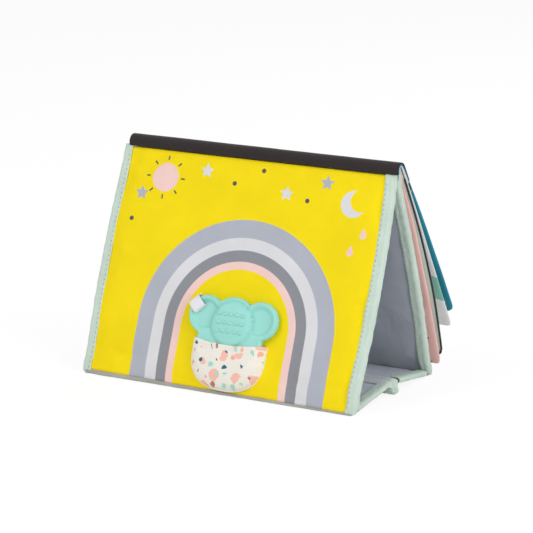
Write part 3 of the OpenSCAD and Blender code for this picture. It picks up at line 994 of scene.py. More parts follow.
@dataclass
class Cover:
    """Padded cover with its lining, the hem along its foot and its two side bindings."""

    tent: Tent
    side: Side
    outer: Cloth
    slot: str
    cell: float = 5.0
    top_outer: float = 210.2
    top_inner: float = 200.6
    hem_left: float = 4.4
    hem_right: float = 1.8
    crown: float = 0.7
    belly: float = 3.3
    spread_left: float = 2.0
    spread_right: float = 0.4
    flare: float = 1.8
    stitch_pitch: float = 4.4
    stitch_rows: tuple[float, float] = (0.075, 0.925)
    replaced: tuple[str, ...] = ()
    pieces: list[bpy.types.Object] = field(default_factory=list)

    @property
    def body(self) -> str:
        """Body that the cover is."""
        return f"{self.side.value}_cover"

    def climb(self, share: float, out: float, start: float) -> float:
        """Finds a height between the ground and the cut below the ridge.

        Args:
            share: From 0 at the foot to 1 at the top.
            out: Height over the outer face, which is 0; below it is negative.
            start: Height of the foot.

        Returns:
            The height up the slope.
        """
        low = start - min(out, 0.0) * math.tan(self.tent.lean)
        deep = self.tent.cover_t + max(min(out, 0.0), -self.tent.cover_t)
        top = min(self.top_outer, self.top_inner + deep / math.tan(self.tent.lean))
        return low + (top - low) * share

    def bowed(self, x: float, v: float) -> float:
        """Moves a side outwards, as a stuffed cover bows between its foot and the ridge.

        Args:
            x: Place across.
            v: Height up the slope.

        Returns:
            The new place across.
        """
        rest = self.spread_left if x < 0 else self.spread_right
        bow = self.belly * math.sin(math.pi * min(max(v / self.top_outer, 0.0), 1.0))
        return x * (1 + (rest + bow) / (self.tent.width / 2))

    def flared(self, v: float, out: float) -> float:
        """Lifts the top of the outer face to the band's lower edge."""
        share = 1 + min(out, 0.0) / self.tent.cover_t
        return out + self.flare * share * smooth((v - 190) / 17)

    def hem_line(self, x: float) -> float:
        """Finds the seam between the face and the hem, which slants.

        Args:
            x: Place across.

        Returns:
            Its height there.
        """
        share = x / self.tent.width + 0.5
        line = self.hem_left + (self.hem_right - self.hem_left) * share
        return line + 0.35 * ripple(x, 0, 31, 4.0)

    def swell(self, x: float, v: float) -> float:
        """How full the padding is: 0 in the side and foot seams and 1 inside."""
        beside = (self.tent.width / 2 - self.tent.binding_w + 1.5 - abs(x)) / 14
        return smooth(beside) * smooth(v / 16) * smooth((self.top_outer + 4 - v) / 20)

    def build(self) -> None:
        """Makes the padding, the hem, the tapes and their stitches."""
        self.pieces = [self.padding(), self.hem(), *(self.tape(hand) for hand in Hand)]
        self.pieces.append(self.seams())

    def padding(self) -> bpy.types.Object:
        """Makes the padded panel.

        Returns:
            The panel, with the face cloth outside and the lining inside.
        """
        half = self.tent.width / 2 - 1.3

        def place(u: float, v: float, w: float) -> Point:
            """Point of the panel, crowned outside and rumpled inside."""
            x = (2 * u - 1) * half
            full = self.swell(x, v * self.top_outer)
            wave = 0.3 * ripple(x, v * 210, 70, 1.0) + 0.12 * ripple(x, v * 210, 24, 2.0)
            pull = 0.3 * (1 - full) * ripple(x, v * 210, 15, 3.0)
            if w < 0.5:
                out = -0.75 + (0.6 + self.crown) * full + (wave + pull) * full
            else:
                wave += 0.5 * ripple(x, v * 520, 60, 9.0)
                out = -self.tent.cover_t + 1.7 - 0.3 * full + 1.2 * wave + 0.5 * pull
            height = self.climb(v, out, self.hem_line(x) - 1.2)
            if w > 0.5:
                out += 0.9 * math.exp(-(((height - 13) / 5) ** 2)) * (1 + ripple(x, 0, 40, 5.0))
            return self.bowed(x, height), height, self.flared(height, out)

        bm = slab(round(2 * half / self.cell), round(self.top_outer / self.cell), place)
        name = f"{self.side.value}_cover_padding"
        piece = make_piece(name, bm, self.tent.face_frame(self.side), [self.outer, LINING, LINING])
        edge = 9 / (2 * half)
        stuff(
            piece,
            lambda u, v, w: min(u, 1 - u) < edge or min(v, 1 - v) < 0.03,
            Stuffing(pressure=2.2, cap=1.1),
        )
        subdivide(piece, 1)
        return dress(piece, self.body, self.slot, self.replaced)

    def hem(self) -> bpy.types.Object:
        """Makes the narrow hem that closes the foot, rumpled where it is sewn.

        Returns:
            The hem.
        """
        half = self.tent.width / 2 - 2.0

        def place(u: float, v: float, w: float) -> Point:
            """Point of the hem."""
            x = (2 * u - 1) * half
            pinch = 0.35 * ripple(x, 0, 9, 6.0) + 0.25 * ripple(x, 3, 23, 7.0)
            bulge = math.sin(math.pi * min(v * 1.3, 1.0))
            out = -0.1 + pinch + 0.35 * bulge if w < 0.5 else -self.tent.cover_t + 0.2 - pinch
            start = -0.1 + 0.3 * ripple(x, 9, 11, 8.0) - min(out, 0.0) * math.tan(self.tent.lean)
            return self.bowed(x, 0), start + v * (self.hem_line(x) + 0.2), out

        bm = slab(round(2 * half / 2.5), 3, place)
        name = f"{self.side.value}_cover_foot_hem"
        piece = make_piece(name, bm, self.tent.face_frame(self.side), [HEM], levels=1)
        return dress(piece, self.body, "underside_cloth", [f"{self.side.value}_cover_hem"])

    def tape_point(self, hand: Hand, v: float, turn: float, lift: float) -> Point:
        """Finds a point on a side binding, with the puckers that its seam gives it.

        Args:
            hand: Left or right.
            v: Share of the tape's length.
            turn: From 0 at its edge on the outer face to 1 on the inner face.
            lift: Distance from what it is folded around.

        Returns:
            The point.
        """
        run = v * self.top_outer
        half = (self.tent.cover_t - 0.9) / 2
        pinch = smooth(run / 5)
        half *= 0.62 + 0.38 * pinch
        reach = self.tent.binding_w + 0.55 * ripple(run, hand.value * 5, 16, 11.0)
        flange = abs(2 * turn - 1)
        puff = 0.42 * math.sin(math.pi * min(1.0, (1 - flange) * 3.2)) if flange > 0.4 else 0.1
        pucker = 0.45 * ripple(run, turn * 6, 7, 12.0) + 0.4 * ripple(run, turn * 9, 3.4, 13.0)
        grow = lift + (puff + pucker) * (0.35 + 0.65 * min(1.0, (1 - flange) * 4))
        inset_out, height_out = around_edge(turn, half, reach, grow)
        bow = 1.1 * math.exp(-(((run - 8) / 7) ** 2)) + 0.5 * ripple(run, hand.value * 3, 60, 14.0)
        x = hand.value * (self.tent.width / 2 - 0.6 - inset_out + bow)
        out = -self.tent.cover_t / 2 + height_out
        height = self.climb(v, out, 0.15 + 0.9 * (1 - pinch))
        return self.bowed(x, height), height, self.flared(height, out)

    def tape(self, hand: Hand) -> bpy.types.Object:
        """Folds binding tape around one side.

        Args:
            hand: Left or right.

        Returns:
            The tape.
        """

        def place(u: float, v: float, w: float) -> Point:
            """Point of the tape's outer or inner face."""
            return self.tape_point(hand, v, u, self.tent.binding_t if w < 0.5 else -0.3)

        def lay(u: float, v: float, w: float) -> Point:
            """Place along the tape, for its weave."""
            return u * 25, v * self.top_outer, w

        bm = slab(20, round(self.top_outer / 2.0), place, lay)
        word = hand.name.lower()
        name = f"{self.side.value}_cover_tape_{word}"
        piece = make_piece(name, bm, self.tent.face_frame(self.side), [MINT], levels=1)
        return dress(piece, self.body, "mint_tape", [f"{self.side.value}_binding_{word}"])

    def seams(self) -> bpy.types.Object:
        """Sews along both edges of both tapes.

        Returns:
            The stitches.
        """
        points = []
        pitch = self.stitch_pitch
        for hand in Hand:
            for turn in self.stitch_rows:
                for i in range(1, int(self.top_outer / pitch) - 1):
                    share = (i + 0.5) * pitch / self.top_outer
                    lift = self.tent.binding_t + (0.12 if turn < 0.5 else -0.12)
                    spot = Vector(self.tape_point(hand, share, turn, lift))
                    points.append((spot, Vector((0, 1, 0))))
        name = f"{self.side.value}_cover_stitches"
        piece = make_piece(name, stitches(points), self.tent.face_frame(self.side), [THREAD])
        return dress(piece, self.body, "mint_tape")


# ---------------------------------------------------------------- folding base


@dataclass
class BaseHalf:
    """One half of the folding base, with its tapes and its half of the soft pleat."""

    tent: Tent
    side: Side
    start: float = -0.3
    length: float = 56.0
    tail_t: float = 5.0
    tail_clear: float = 1.0
    tail_flare: float = 5.6
    stitch_rows: tuple[float, ...] = (0.07, 0.22, 0.93)
    pieces: list[bpy.types.Object] = field(default_factory=list)

    @property
    def body(self) -> str:
        """Body that the half is."""
        return f"{self.side.value}_base"

    def build(self) -> None:
        """Makes the pad, its tapes and the pleat."""
        self.pieces = [self.pad(), *(self.tape(hand) for hand in Hand), self.seams(), self.pleat()]

    def pad(self) -> bpy.types.Object:
        """Makes a thin pad with the lining above and the underside cloth below.

        Returns:
            The pad.
        """
        half = self.tent.width / 2 - 1.0
        thick = self.tent.base_t

        def place(u: float, v: float, w: float) -> Point:
            """Point of the pad, soft on top."""
            x, run = (2 * u - 1) * half, v * self.length
            full = smooth((half - 6 - abs(x)) / 14) * smooth(run / 7)
            wave = 0.55 * ripple(x, run, 44, 21.0) + 0.25 * ripple(x, run, 17, 22.0)
            if w < 0.5:
                return x, self.start + run, -1.2 + (0.35 + 0.5 * wave) * full
            return x, self.start + run, -thick + 0.3 + 0.2 * wave * full

        bm = slab(round(2 * half / 5), 12, place)
        name = f"{self.side.value}_base_padding"
        # the pad's top takes the lining painted lighter, as painted light on the base
        piece = make_piece(name, bm, self.tent.base_frame(self.side), [BASE_LINING_PAINTED_LIGHTER, HEM, HEM])
        stuff(
            piece,
            lambda u, v, w: min(u, 1 - u) < 0.035 or min(v, 1 - v) < 0.06 or w > 0.5,
            Stuffing(pressure=1.5, cap=0.5, slack=0.03),
        )
        subdivide(piece, 1)
        nodes = [f"{self.side.value}_base_pad", f"{self.side.value}_base_lining"]
        return dress(piece, self.body, "lining_cloth", nodes)

    def tape_point(self, hand: Hand, v: float, turn: float, lift: float) -> Point:
        """Finds a point on a side tape of the base.

        Args:
            hand: Left or right.
            v: Share of the tape's length.
            turn: From 0 at its edge on the outer face to 1 on the inner face.
            lift: Distance from what it is folded around.

        Returns:
            The point.
        """
        run = v * self.length
        half = (self.tent.base_t - 0.5) / 2
        reach = self.tent.binding_w + 0.5 * ripple(run, hand.value * 5, 12, 23.0)
        flange = abs(2 * turn - 1)
        pucker = 0.28 * ripple(run, turn * 6, 6, 24.0) + 0.2 * ripple(run, turn * 9, 3.1, 25.0)
        grow = lift + (0.1 + pucker) * min(1.0, 0.3 + (1 - flange) * 3)
        inset, height = around_edge(turn, half, reach, grow)
        return hand.value * (self.tent.width / 2 - 0.5 - inset), self.start + run, (
            -self.tent.base_t / 2 + height
        )

    def tape(self, hand: Hand) -> bpy.types.Object:
        """Folds binding tape around one side of the base half.

        Args:
            hand: Left or right.

        Returns:
            The tape.
        """

        def place(u: float, v: float, w: float) -> Point:
            """Point of the tape's outer or inner face."""
            return self.tape_point(hand, v, u, self.tent.binding_t if w < 0.5 else -0.3)

        def lay(u: float, v: float, w: float) -> Point:
            """Place along the tape, for its weave."""
            return u * 22, v * self.length, w

        word = hand.name.lower()
        name = f"{self.side.value}_base_tape_{word}"
        bm = slab(18, 28, place, lay)
        piece = make_piece(name, bm, self.tent.base_frame(self.side), [MINT], levels=1)
        return dress(piece, self.body, "mint_tape", [f"{self.side.value}_base_binding_{word}"])

    def seams(self) -> bpy.types.Object:
        """Sews two rows on the upper face of both tapes and one below.

        Returns:
            The stitches.
        """
        points = []
        for hand in Hand:
            for turn in self.stitch_rows:
                for i in range(1, 15):
                    spot = self.tape_point(hand, i / 15.5, turn, self.tent.binding_t - 0.15)
                    points.append((Vector(spot), Vector((0, 1, 0))))
        name = f"{self.side.value}_base_stitches"
        piece = make_piece(name, stitches(points), self.tent.base_frame(self.side), [THREAD])
        return dress(piece, self.body, "mint_tape")

    def pleat(self) -> bpy.types.Object:
        """Makes half of the soft fold at the crease, with its tail hanging to the ground.

        Returns:
            The half of the pleat.
        """
        tent = self.tent
        reach, z = tent.base_axis
        rise, end = tent.base_rise, self.start + self.length - 0.3
        near = Vector((-reach + end * math.cos(rise) + tent.fold_gap * math.sin(rise),
                       z + end * math.sin(rise) - tent.fold_gap * math.cos(rise)))
        low = near + tent.base_t * Vector((math.sin(rise), -math.cos(rise)))
        middle, clear, tail = -tent.soft_gap / 2, self.tail_clear, self.tail_t
        outline = [
            near, near.lerp(Vector((middle, tent.crease_h)), 0.5) + Vector((0, 0.3)),
            Vector((middle - 1.2, tent.crease_h + 0.1)), Vector((middle, tent.crease_h - 1.2)),
            Vector((middle, 7.5)), Vector((middle, clear + 1)), Vector((middle - 1.0, clear)),
            Vector((middle - 0.6 * tail, clear)), Vector((middle - tail, clear + tail / 2)),
            Vector((middle - tail, 6.8)), Vector((middle - tail - 0.4, 9.2)), low,
        ]
        half, steps = tent.width / 2 - 0.8, 70
        bm = bmesh.new()
        verts = [bm.verts.new((-half, p.x, p.y)) for p in outline]
        loop = [bm.edges.new((verts[i - 1], verts[i])) for i in range(len(verts))]
        bmesh.ops.spin(
            bm, geom=loop, angle=0.0, steps=steps, axis=(1, 0, 0), cent=(0, 0, 0),
            dvec=(2 * half / steps, 0, 0), use_duplicate=False,
        )
        bmesh.ops.holes_fill(bm, edges=[e for e in bm.edges if e.is_boundary], sides=0)
        cloth = bm.verts.layers.float_vector.new("cloth")
        for face in bm.faces:
            spot = face.calc_center_median()
            top = spot.z > 11.2 and spot.y < middle - 0.3
            face.material_index = 2 if abs(spot.x) > half - 8 else 0 if top else 1
        for vert in bm.verts:
            x, y, height = vert.co
            vert[cloth] = Vector((x, y - height, 0)) * MM
            deep = smooth((12.0 - height) / 6)
            fold = deep * (0.8 * ripple(x, height, 13, 26.0) + 0.5 * ripple(x, height, 5, 27.0))
            if y < middle - 0.5:
                vert.co.y = min(y + fold, middle - 0.3)
            if height > 11.5:
                vert.co.z += 0.35 * ripple(x, 0, 30, 28.0) - 0.2
            flare = smooth((abs(x) - half + 12) / 12) * smooth((9.5 - height) / 7)
            rib = 0.55 * math.sin(height * 2.1 + y * 1.3) * flare
            vert.co.x += math.copysign(self.tail_flare * flare + rib, x)
        name = f"{self.side.value}_base_fold"
        # the pleat's top takes the same lining painted lighter, as painted light
        piece = make_piece(
            name, bm, self.tent.side_frame(self.side), [BASE_LINING_PAINTED_LIGHTER, HEM, MINT], levels=1
        )
        dress(piece, self.body, "lining_cloth", [f"{self.side.value}_pleat"])
        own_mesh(piece)
        return piece


# ---------------------------------------------------------------- ridge and leaves


@dataclass
class Ridge:
    """Charcoal band that wraps the sewn margins and joins the two covers."""

    tent: Tent
    width: float = 269.6
    shift: float = 3.8
    band_t: float = 1.0
    tail: float = 19.0
    tail_lean: float = 35.6
    front_end: float = 203.0
    skirt: float = 0.6

    def build(self) -> bpy.types.Object:
        """Makes the band.

        Returns:
            The band, which lies over the roll between the two covers.
        """
        tent = self.tent
        r_out, r_in = tent.ridge_r - 0.5, tent.ridge_r - 0.5 - self.band_t
        lean = math.radians(self.tail_lean)
        turn = math.radians(self.front_end) - lean
        arc = turn * r_out
        total = self.skirt + arc + self.tail

        def place(u: float, v: float, w: float) -> Point:
            """Point of the band, from its front edge over the roll."""
            x = (u - 0.5) * self.width + self.shift
            run = v * total
            dip = 0.3 * ripple(x, run, 26, 31.0) + 0.14 * ripple(x, run, 9, 32.0)
            r = (r_out + 0.5 * dip) if w < 0.5 else r_in
            if run < self.skirt:
                angle = math.radians(self.front_end)
                back = self.skirt - run + 0.3 * ripple(x, 0, 19, 33.0)
                flat = (-math.sin(tent.lean), -math.cos(tent.lean))
                y, z = r * math.cos(angle), r * math.sin(angle)
                return x, y + back * flat[0], tent.ridge_z + z + back * flat[1]
            if run < self.skirt + arc:
                angle = math.radians(self.front_end) - (run - self.skirt) / r_out
                return x, r * math.cos(angle), tent.ridge_z + r * math.sin(angle)
            down = run - self.skirt - arc
            if w < 0.5:
                r -= 0.5 * down / self.tail
            y = r * math.cos(lean) + down * math.sin(lean)
            return x, y, tent.ridge_z + r * math.sin(lean) - down * math.cos(lean)

        def lay(u: float, v: float, w: float) -> Point:
            """Place along the band, for its weave."""
            return (u - 0.5) * self.width, v * total, w

        bm = slab(88, 22, place, lay)
        piece = make_piece("ridge_tape", bm, tent.side_frame(Side.FRONT), [CHARCOAL], levels=1)
        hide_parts("ridge_band")
        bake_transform(piece)
        LOG.info("ridge_tape bends between the covers, %d faces", len(piece.data.polygons))
        return piece


@dataclass
class Leaf:
    """Padded cloth leaf with its margin in the roll, and tape or thread on its edge."""

    tent: Tent
    name: str
    length: float
    lean: float
    layer: int
    face: Cloth
    back: Cloth
    slot: str
    width: float = 267.0
    shift: float = 3.5
    thick: float = 3.2
    margin_t: float = 1.1
    band_t: float = 1.5
    corner: float = 3.0
    belly: float = 1.5
    tuck: float = 0.0
    rim: Cloth | None = None

    @property
    def margin_r(self) -> float:
        """Middle radius of the margin in the roll."""
        return self.tent.ridge_r - self.band_t - (self.layer + 0.5) * (self.margin_t + 0.1) - 0.05

    def half_width(self, run: float) -> float:
        """Finds half the leaf's width, which rounds off at the corners.

        Args:
            run: Distance down from the roll.

        Returns:
            Half the width there.
        """
        left = self.length - run
        half = self.width / 2 + self.belly * math.sin(math.pi * min(max(run / self.length, 0), 1))
        half -= self.tuck * (1 - smooth(run / 60))
        if left >= self.corner:
            return half
        return half - self.corner + math.sqrt(
            max(self.corner**2 - (self.corner - left) ** 2, 0.0)
        )

    def sheet_point(self, x: float, run: float, off: float) -> Point:
        """Finds a point over the leaf's middle plane, with the slow waves of all leaves.

        Args:
            x: Place across.
            run: Distance down from the roll.
            off: Height over the plane.

        Returns:
            The point.
        """
        lean = math.radians(self.lean)
        share = max(run, 0.0) / 200
        wave = 3.2 * share * ripple(x, run, 120, 41.0) + 1.0 * share * ripple(x, run, 45, 42.0)
        wave += 1.6 * share * ripple(x, 0, 70, 43.0)
        r = self.margin_r + off + wave
        y = r * math.cos(lean) + run * math.sin(lean)
        z = self.tent.ridge_z + r * math.sin(lean) - run * math.cos(lean)
        return x + self.shift, y, z

    def thickness(self, x: float, run: float) -> float:
        """Finds the padding's thickness, which thins out to the edges and the margin.

        Args:
            x: Place across.
            run: Distance down from the roll.

        Returns:
            The thickness there.
        """
        full = self.margin_t + (self.thick - self.margin_t) * smooth(run / 70)
        edge = min(self.half_width(run) - abs(x), self.length - run)
        return full * (0.5 + 0.5 * smooth(edge / 14))

    def build(self, nodes: Sequence[str]) -> bpy.types.Object:
        """Makes the leaf.

        Args:
            nodes: Solids that it stands for.

        Returns:
            The padded leaf.
        """
        bend = 0.14
        lean = math.radians(self.lean)

        def place(u: float, v: float, w: float) -> Point:
            """Point of the leaf, from its margin in the roll down."""
            side = 0.5 - w
            if v < bend:
                angle = lean + math.pi * (1 - v / bend)
                r = self.margin_r + side * self.margin_t
                wide = self.width - 2 * self.tuck + 1.6 * (1 - v / bend)
                x = (u - 0.5) * wide + self.shift
                return x, r * math.cos(angle), self.tent.ridge_z + r * math.sin(angle)
            run = (v - bend) / (1 - bend) * (self.length - 0.3)
            x = (2 * u - 1) * self.half_width(run)
            near = smooth(run / 20)
            pad = self.thickness(x, run) + 0.5 * near * ripple(x, run, 26, 44.0 + self.layer)
            return self.sheet_point(x, run, side * max(pad, 0.9))

        def lay(u: float, v: float, w: float) -> Point:
            """Place on the leaf, for its print."""
            return (u - 0.5) * self.width, (v - bend) / (1 - bend) * self.length, w

        bm = slab(46, 42, place, lay)
        piece = make_piece(
            self.name, bm, self.tent.side_frame(Side.FRONT),
            [self.face, self.back, self.rim or self.face],
        )
        stuff(
            piece,
            lambda u, v, w: min(u, 1 - u) < 0.03 or v < 0.22 or v > 0.965,
            Stuffing(pressure=1.6, cap=0.8, slack=0.015, frames=12),
        )
        subdivide(piece, 1)
        return dress(piece, "rear_cover", self.slot, nodes)

    def edging(
        self, name: str, finish: Cloth, slot: str, node: str, reach: float, scallop: float = 0.0,
        top: float = 11.0,
    ) -> bpy.types.Object:
        """Makes the tape or overlocked thread around the sides and foot.

        Args:
            name: Name of the piece.
            finish: Its cloth or thread.
            slot: Its material slot.
            node: Solid that it stands for.
            reach: Its width on each face.
            scallop: Depth of the thread's loops, 0 for tape.
            top: Distance from the roll at which it starts.

        Returns:
            The edging.
        """
        side, foot = self.length - self.corner - top, self.width - 2 * self.corner
        quarter = math.pi / 2 * self.corner
        total = 2 * (side + quarter) + foot

        def outline(run: float) -> tuple[Vector, Vector]:
            """Finds a point on the edge.

            Args:
                run: Distance along the edge.

            Returns:
                The point and the way inwards.
            """
            half = self.width / 2
            for sign in (-1, 1):
                part = run if sign < 0 else total - run
                if part < side:
                    wide = self.half_width(top + part)
                    return Vector((sign * wide, top + part)), Vector((-sign, 0))
                if part < side + quarter:
                    angle = (part - side) / self.corner
                    way = Vector((-sign * math.cos(angle), -math.sin(angle)))
                    centre = Vector((sign * (half - self.corner), self.length - self.corner))
                    return centre - self.corner * way, way
            return Vector((run - side - quarter - foot / 2, self.length)), Vector((0, -1))

        def place(u: float, v: float, w: float) -> Point:
            """Point of the edging, folded around the edge."""
            run = v * total
            spot, way = outline(run)
            loop = scallop * abs(math.sin(math.pi * run / 2.6))
            half = max(self.thickness(spot.x, spot.y) / 2, 0.5)
            lift = ((0.3 if scallop else 0.5) if w < 0.5 else 0.05) + loop * 0.5
            wide = reach + loop + 0.3 * ripple(run, 0, 9, 45.0)
            inset, height = around_edge(u, half, max(wide, half + 0.5), lift)
            point = spot + way * inset
            return self.sheet_point(point.x, point.y, height)

        def lay(u: float, v: float, w: float) -> Point:
            """Place along the edging, for its weave."""
            return v * total, u * 2.4 * reach, w

        bm = slab(8, round(total / (0.65 if scallop else 3.0)), place, lay)
        piece = make_piece(
            name, bm, self.tent.side_frame(Side.FRONT), [finish], levels=0 if scallop else 1
        )
        return dress(piece, "rear_cover", slot, [node])


# ---------------------------------------------------------------- pocket and teether


@dataclass
class Pocket:
    """Rounded pocket that bulges over the teether, with piping sewn around it."""

    tent: Tent
    half: float = 36.0
    x: float = 7.6
    v: float = 34.0
    mouth_v: float = 47.4
    sag: float = 4.0
    out: float = 10.6
    foot_v: float = 4.4
    slope: float = 11.0
    roundness: float = 2.4
    bend: float = 0.62

    def outline(self, across: float, down: float) -> Point:
        """Point of the rounded lower part from a square grid.

        Args:
            across: From -1 at the left to 1 at the right.
            down: From 0 level with the middle to 1 at the foot.

        Returns:
            Offset across, offset down, and how far out the point is, 1 at the border.
        """
        a = across * math.sqrt(1 - down * down / 2)
        b = down * math.sqrt(1 - across * across / 2)
        reach = math.hypot(a, b)
        if reach < 1e-6:
            return 0.0, 0.0, 0.0
        c, s = abs(a) / reach, b / reach
        swell = (c**self.roundness + s**self.roundness) ** (-1 / self.roundness)
        return a * swell * self.half, b * swell * (self.v - self.foot_v), reach

    def build(self) -> list[bpy.types.Object]:
        """Makes the pouch, its piping and the stitches along its mouth.

        Returns:
            The three pieces.
        """

        def place(u: float, v: float, w: float) -> Point:
            """Point of the pouch, round below and open above."""
            across = 2 * u - 1
            if v < self.bend:
                x, down, reach = self.outline(across, 1 - v / self.bend)
                height = self.v - down
                border = (1 - reach) * (self.v - self.foot_v)
            else:
                up = (v - self.bend) / (1 - self.bend)
                mouth = self.mouth_v - self.sag * (1 - across * across)
                x, height = across * self.half, self.v + up * (mouth - self.v)
                border = (1 - abs(across)) * self.half
            rise = math.sqrt(max(0.0, 1 - (1 - min(border / self.slope, 1)) ** 2))
            full = self.out - 1.4 * smooth((self.v - height) / 30)
            crease = 0.55 * ripple(x, height, 11, 51.0) + 0.3 * ripple(x, height, 5, 52.0)
            lip = 0.5 * smooth((height - self.mouth_v + self.sag + 5) / 1.5)
            out = 0.9 + (full - 0.9) * rise + crease * (0.25 + 0.5 * rise * (1 - rise) * 4)
            out += lip * rise
            return self.x + x, height, out if w < 0.5 else max(out - 1.1 - lip, 0.4)

        def lay(u: float, v: float, w: float) -> Point:
            """Place on the pouch, for its print."""
            x, height, _ = place(u, v, 0)
            return x, height, w

        bm = slab(40, 30, place, lay)
        frame = self.tent.face_frame(Side.FRONT)
        pouch = make_piece("terrazzo_pouch", bm, frame, [POCKET], levels=1)
        chips = [f"chips_{name}" for name in ("blush", "terracotta", "navy", "aqua")]
        dress(pouch, "front_cover", "pocket_cloth", ["pocket", *chips])
        return [pouch, self.piping(), self.mouth_stitches(place)]

    def piping(self) -> bpy.types.Object:
        """Sweeps thin piping along the sides and the foot.

        Returns:
            The piping.
        """
        path = [(-self.half, self.mouth_v - 0.5), (-self.half, self.v + 6)]
        steps = 40
        for i in range(steps + 1):
            across = -1 + 2 * i / steps
            edge = min(1.0, 2 * (1 - abs(across)))
            a, b = (math.copysign(1, across), edge) if edge < 1 else (across * 2, 1.0)
            x, down, _ = self.outline(a, b)
            path.append((x, self.v - down))
        path += [(self.half, self.v + 6), (self.half, self.mouth_v - 0.5)]
        curve = bpy.data.curves.new("piping_path", "CURVE")
        curve.dimensions, curve.bevel_depth, curve.bevel_resolution = "3D", 0.8 * MM, 3
        curve.use_fill_caps = True
        line = curve.splines.new("NURBS")
        line.points.add(len(path) - 1)
        frame = self.tent.face_frame(Side.FRONT)
        for point, (x, v) in zip(line.points, path):
            point.co = (*(frame @ Vector((self.x + x, v, 1.0))), 1)
        line.use_endpoint_u, line.order_u, line.resolution_u = True, 4, 4
        maker = bpy.data.objects.new("piping_maker", curve)
        bpy.context.scene.collection.objects.link(maker)
        depsgraph = bpy.context.evaluated_depsgraph_get()
        mesh = bpy.data.meshes.new_from_object(maker.evaluated_get(depsgraph))
        bpy.data.objects.remove(maker)
        bm = bmesh.new()
        bm.from_mesh(mesh)
        bpy.data.meshes.remove(mesh)
        bmesh.ops.remove_doubles(bm, verts=bm.verts, dist=1e-6)
        cloth = bm.verts.layers.float_vector.new("cloth")
        for vert in bm.verts:
            vert[cloth] = vert.co
        bmesh.ops.scale(bm, vec=(1 / MM,) * 3, verts=bm.verts)
        piece = make_piece("pouch_piping", bm, Matrix.Scale(MM, 4), [PIPING])
        return dress(piece, "front_cover", "piping_cloth", ["pocket_piping"])

    def mouth_stitches(self, place: Place) -> bpy.types.Object:
        """Sews the row that holds the folded mouth.

        Args:
            place: Gives the pouch's points from its grid.

        Returns:
            The stitches.
        """
        points = []
        for i in range(1, 24):
            u = i / 24
            spot, beside = Vector(place(u, 0.9, 0)), Vector(place(u + 0.01, 0.9, 0))
            points.append((spot + Vector((0, 0, 0.12)), beside - spot))
        frame = self.tent.face_frame(Side.FRONT)
        piece = make_piece("pouch_stitches", stitches(points, 1.7), frame, [PIPING])
        return dress(piece, "front_cover", "piping_cloth")


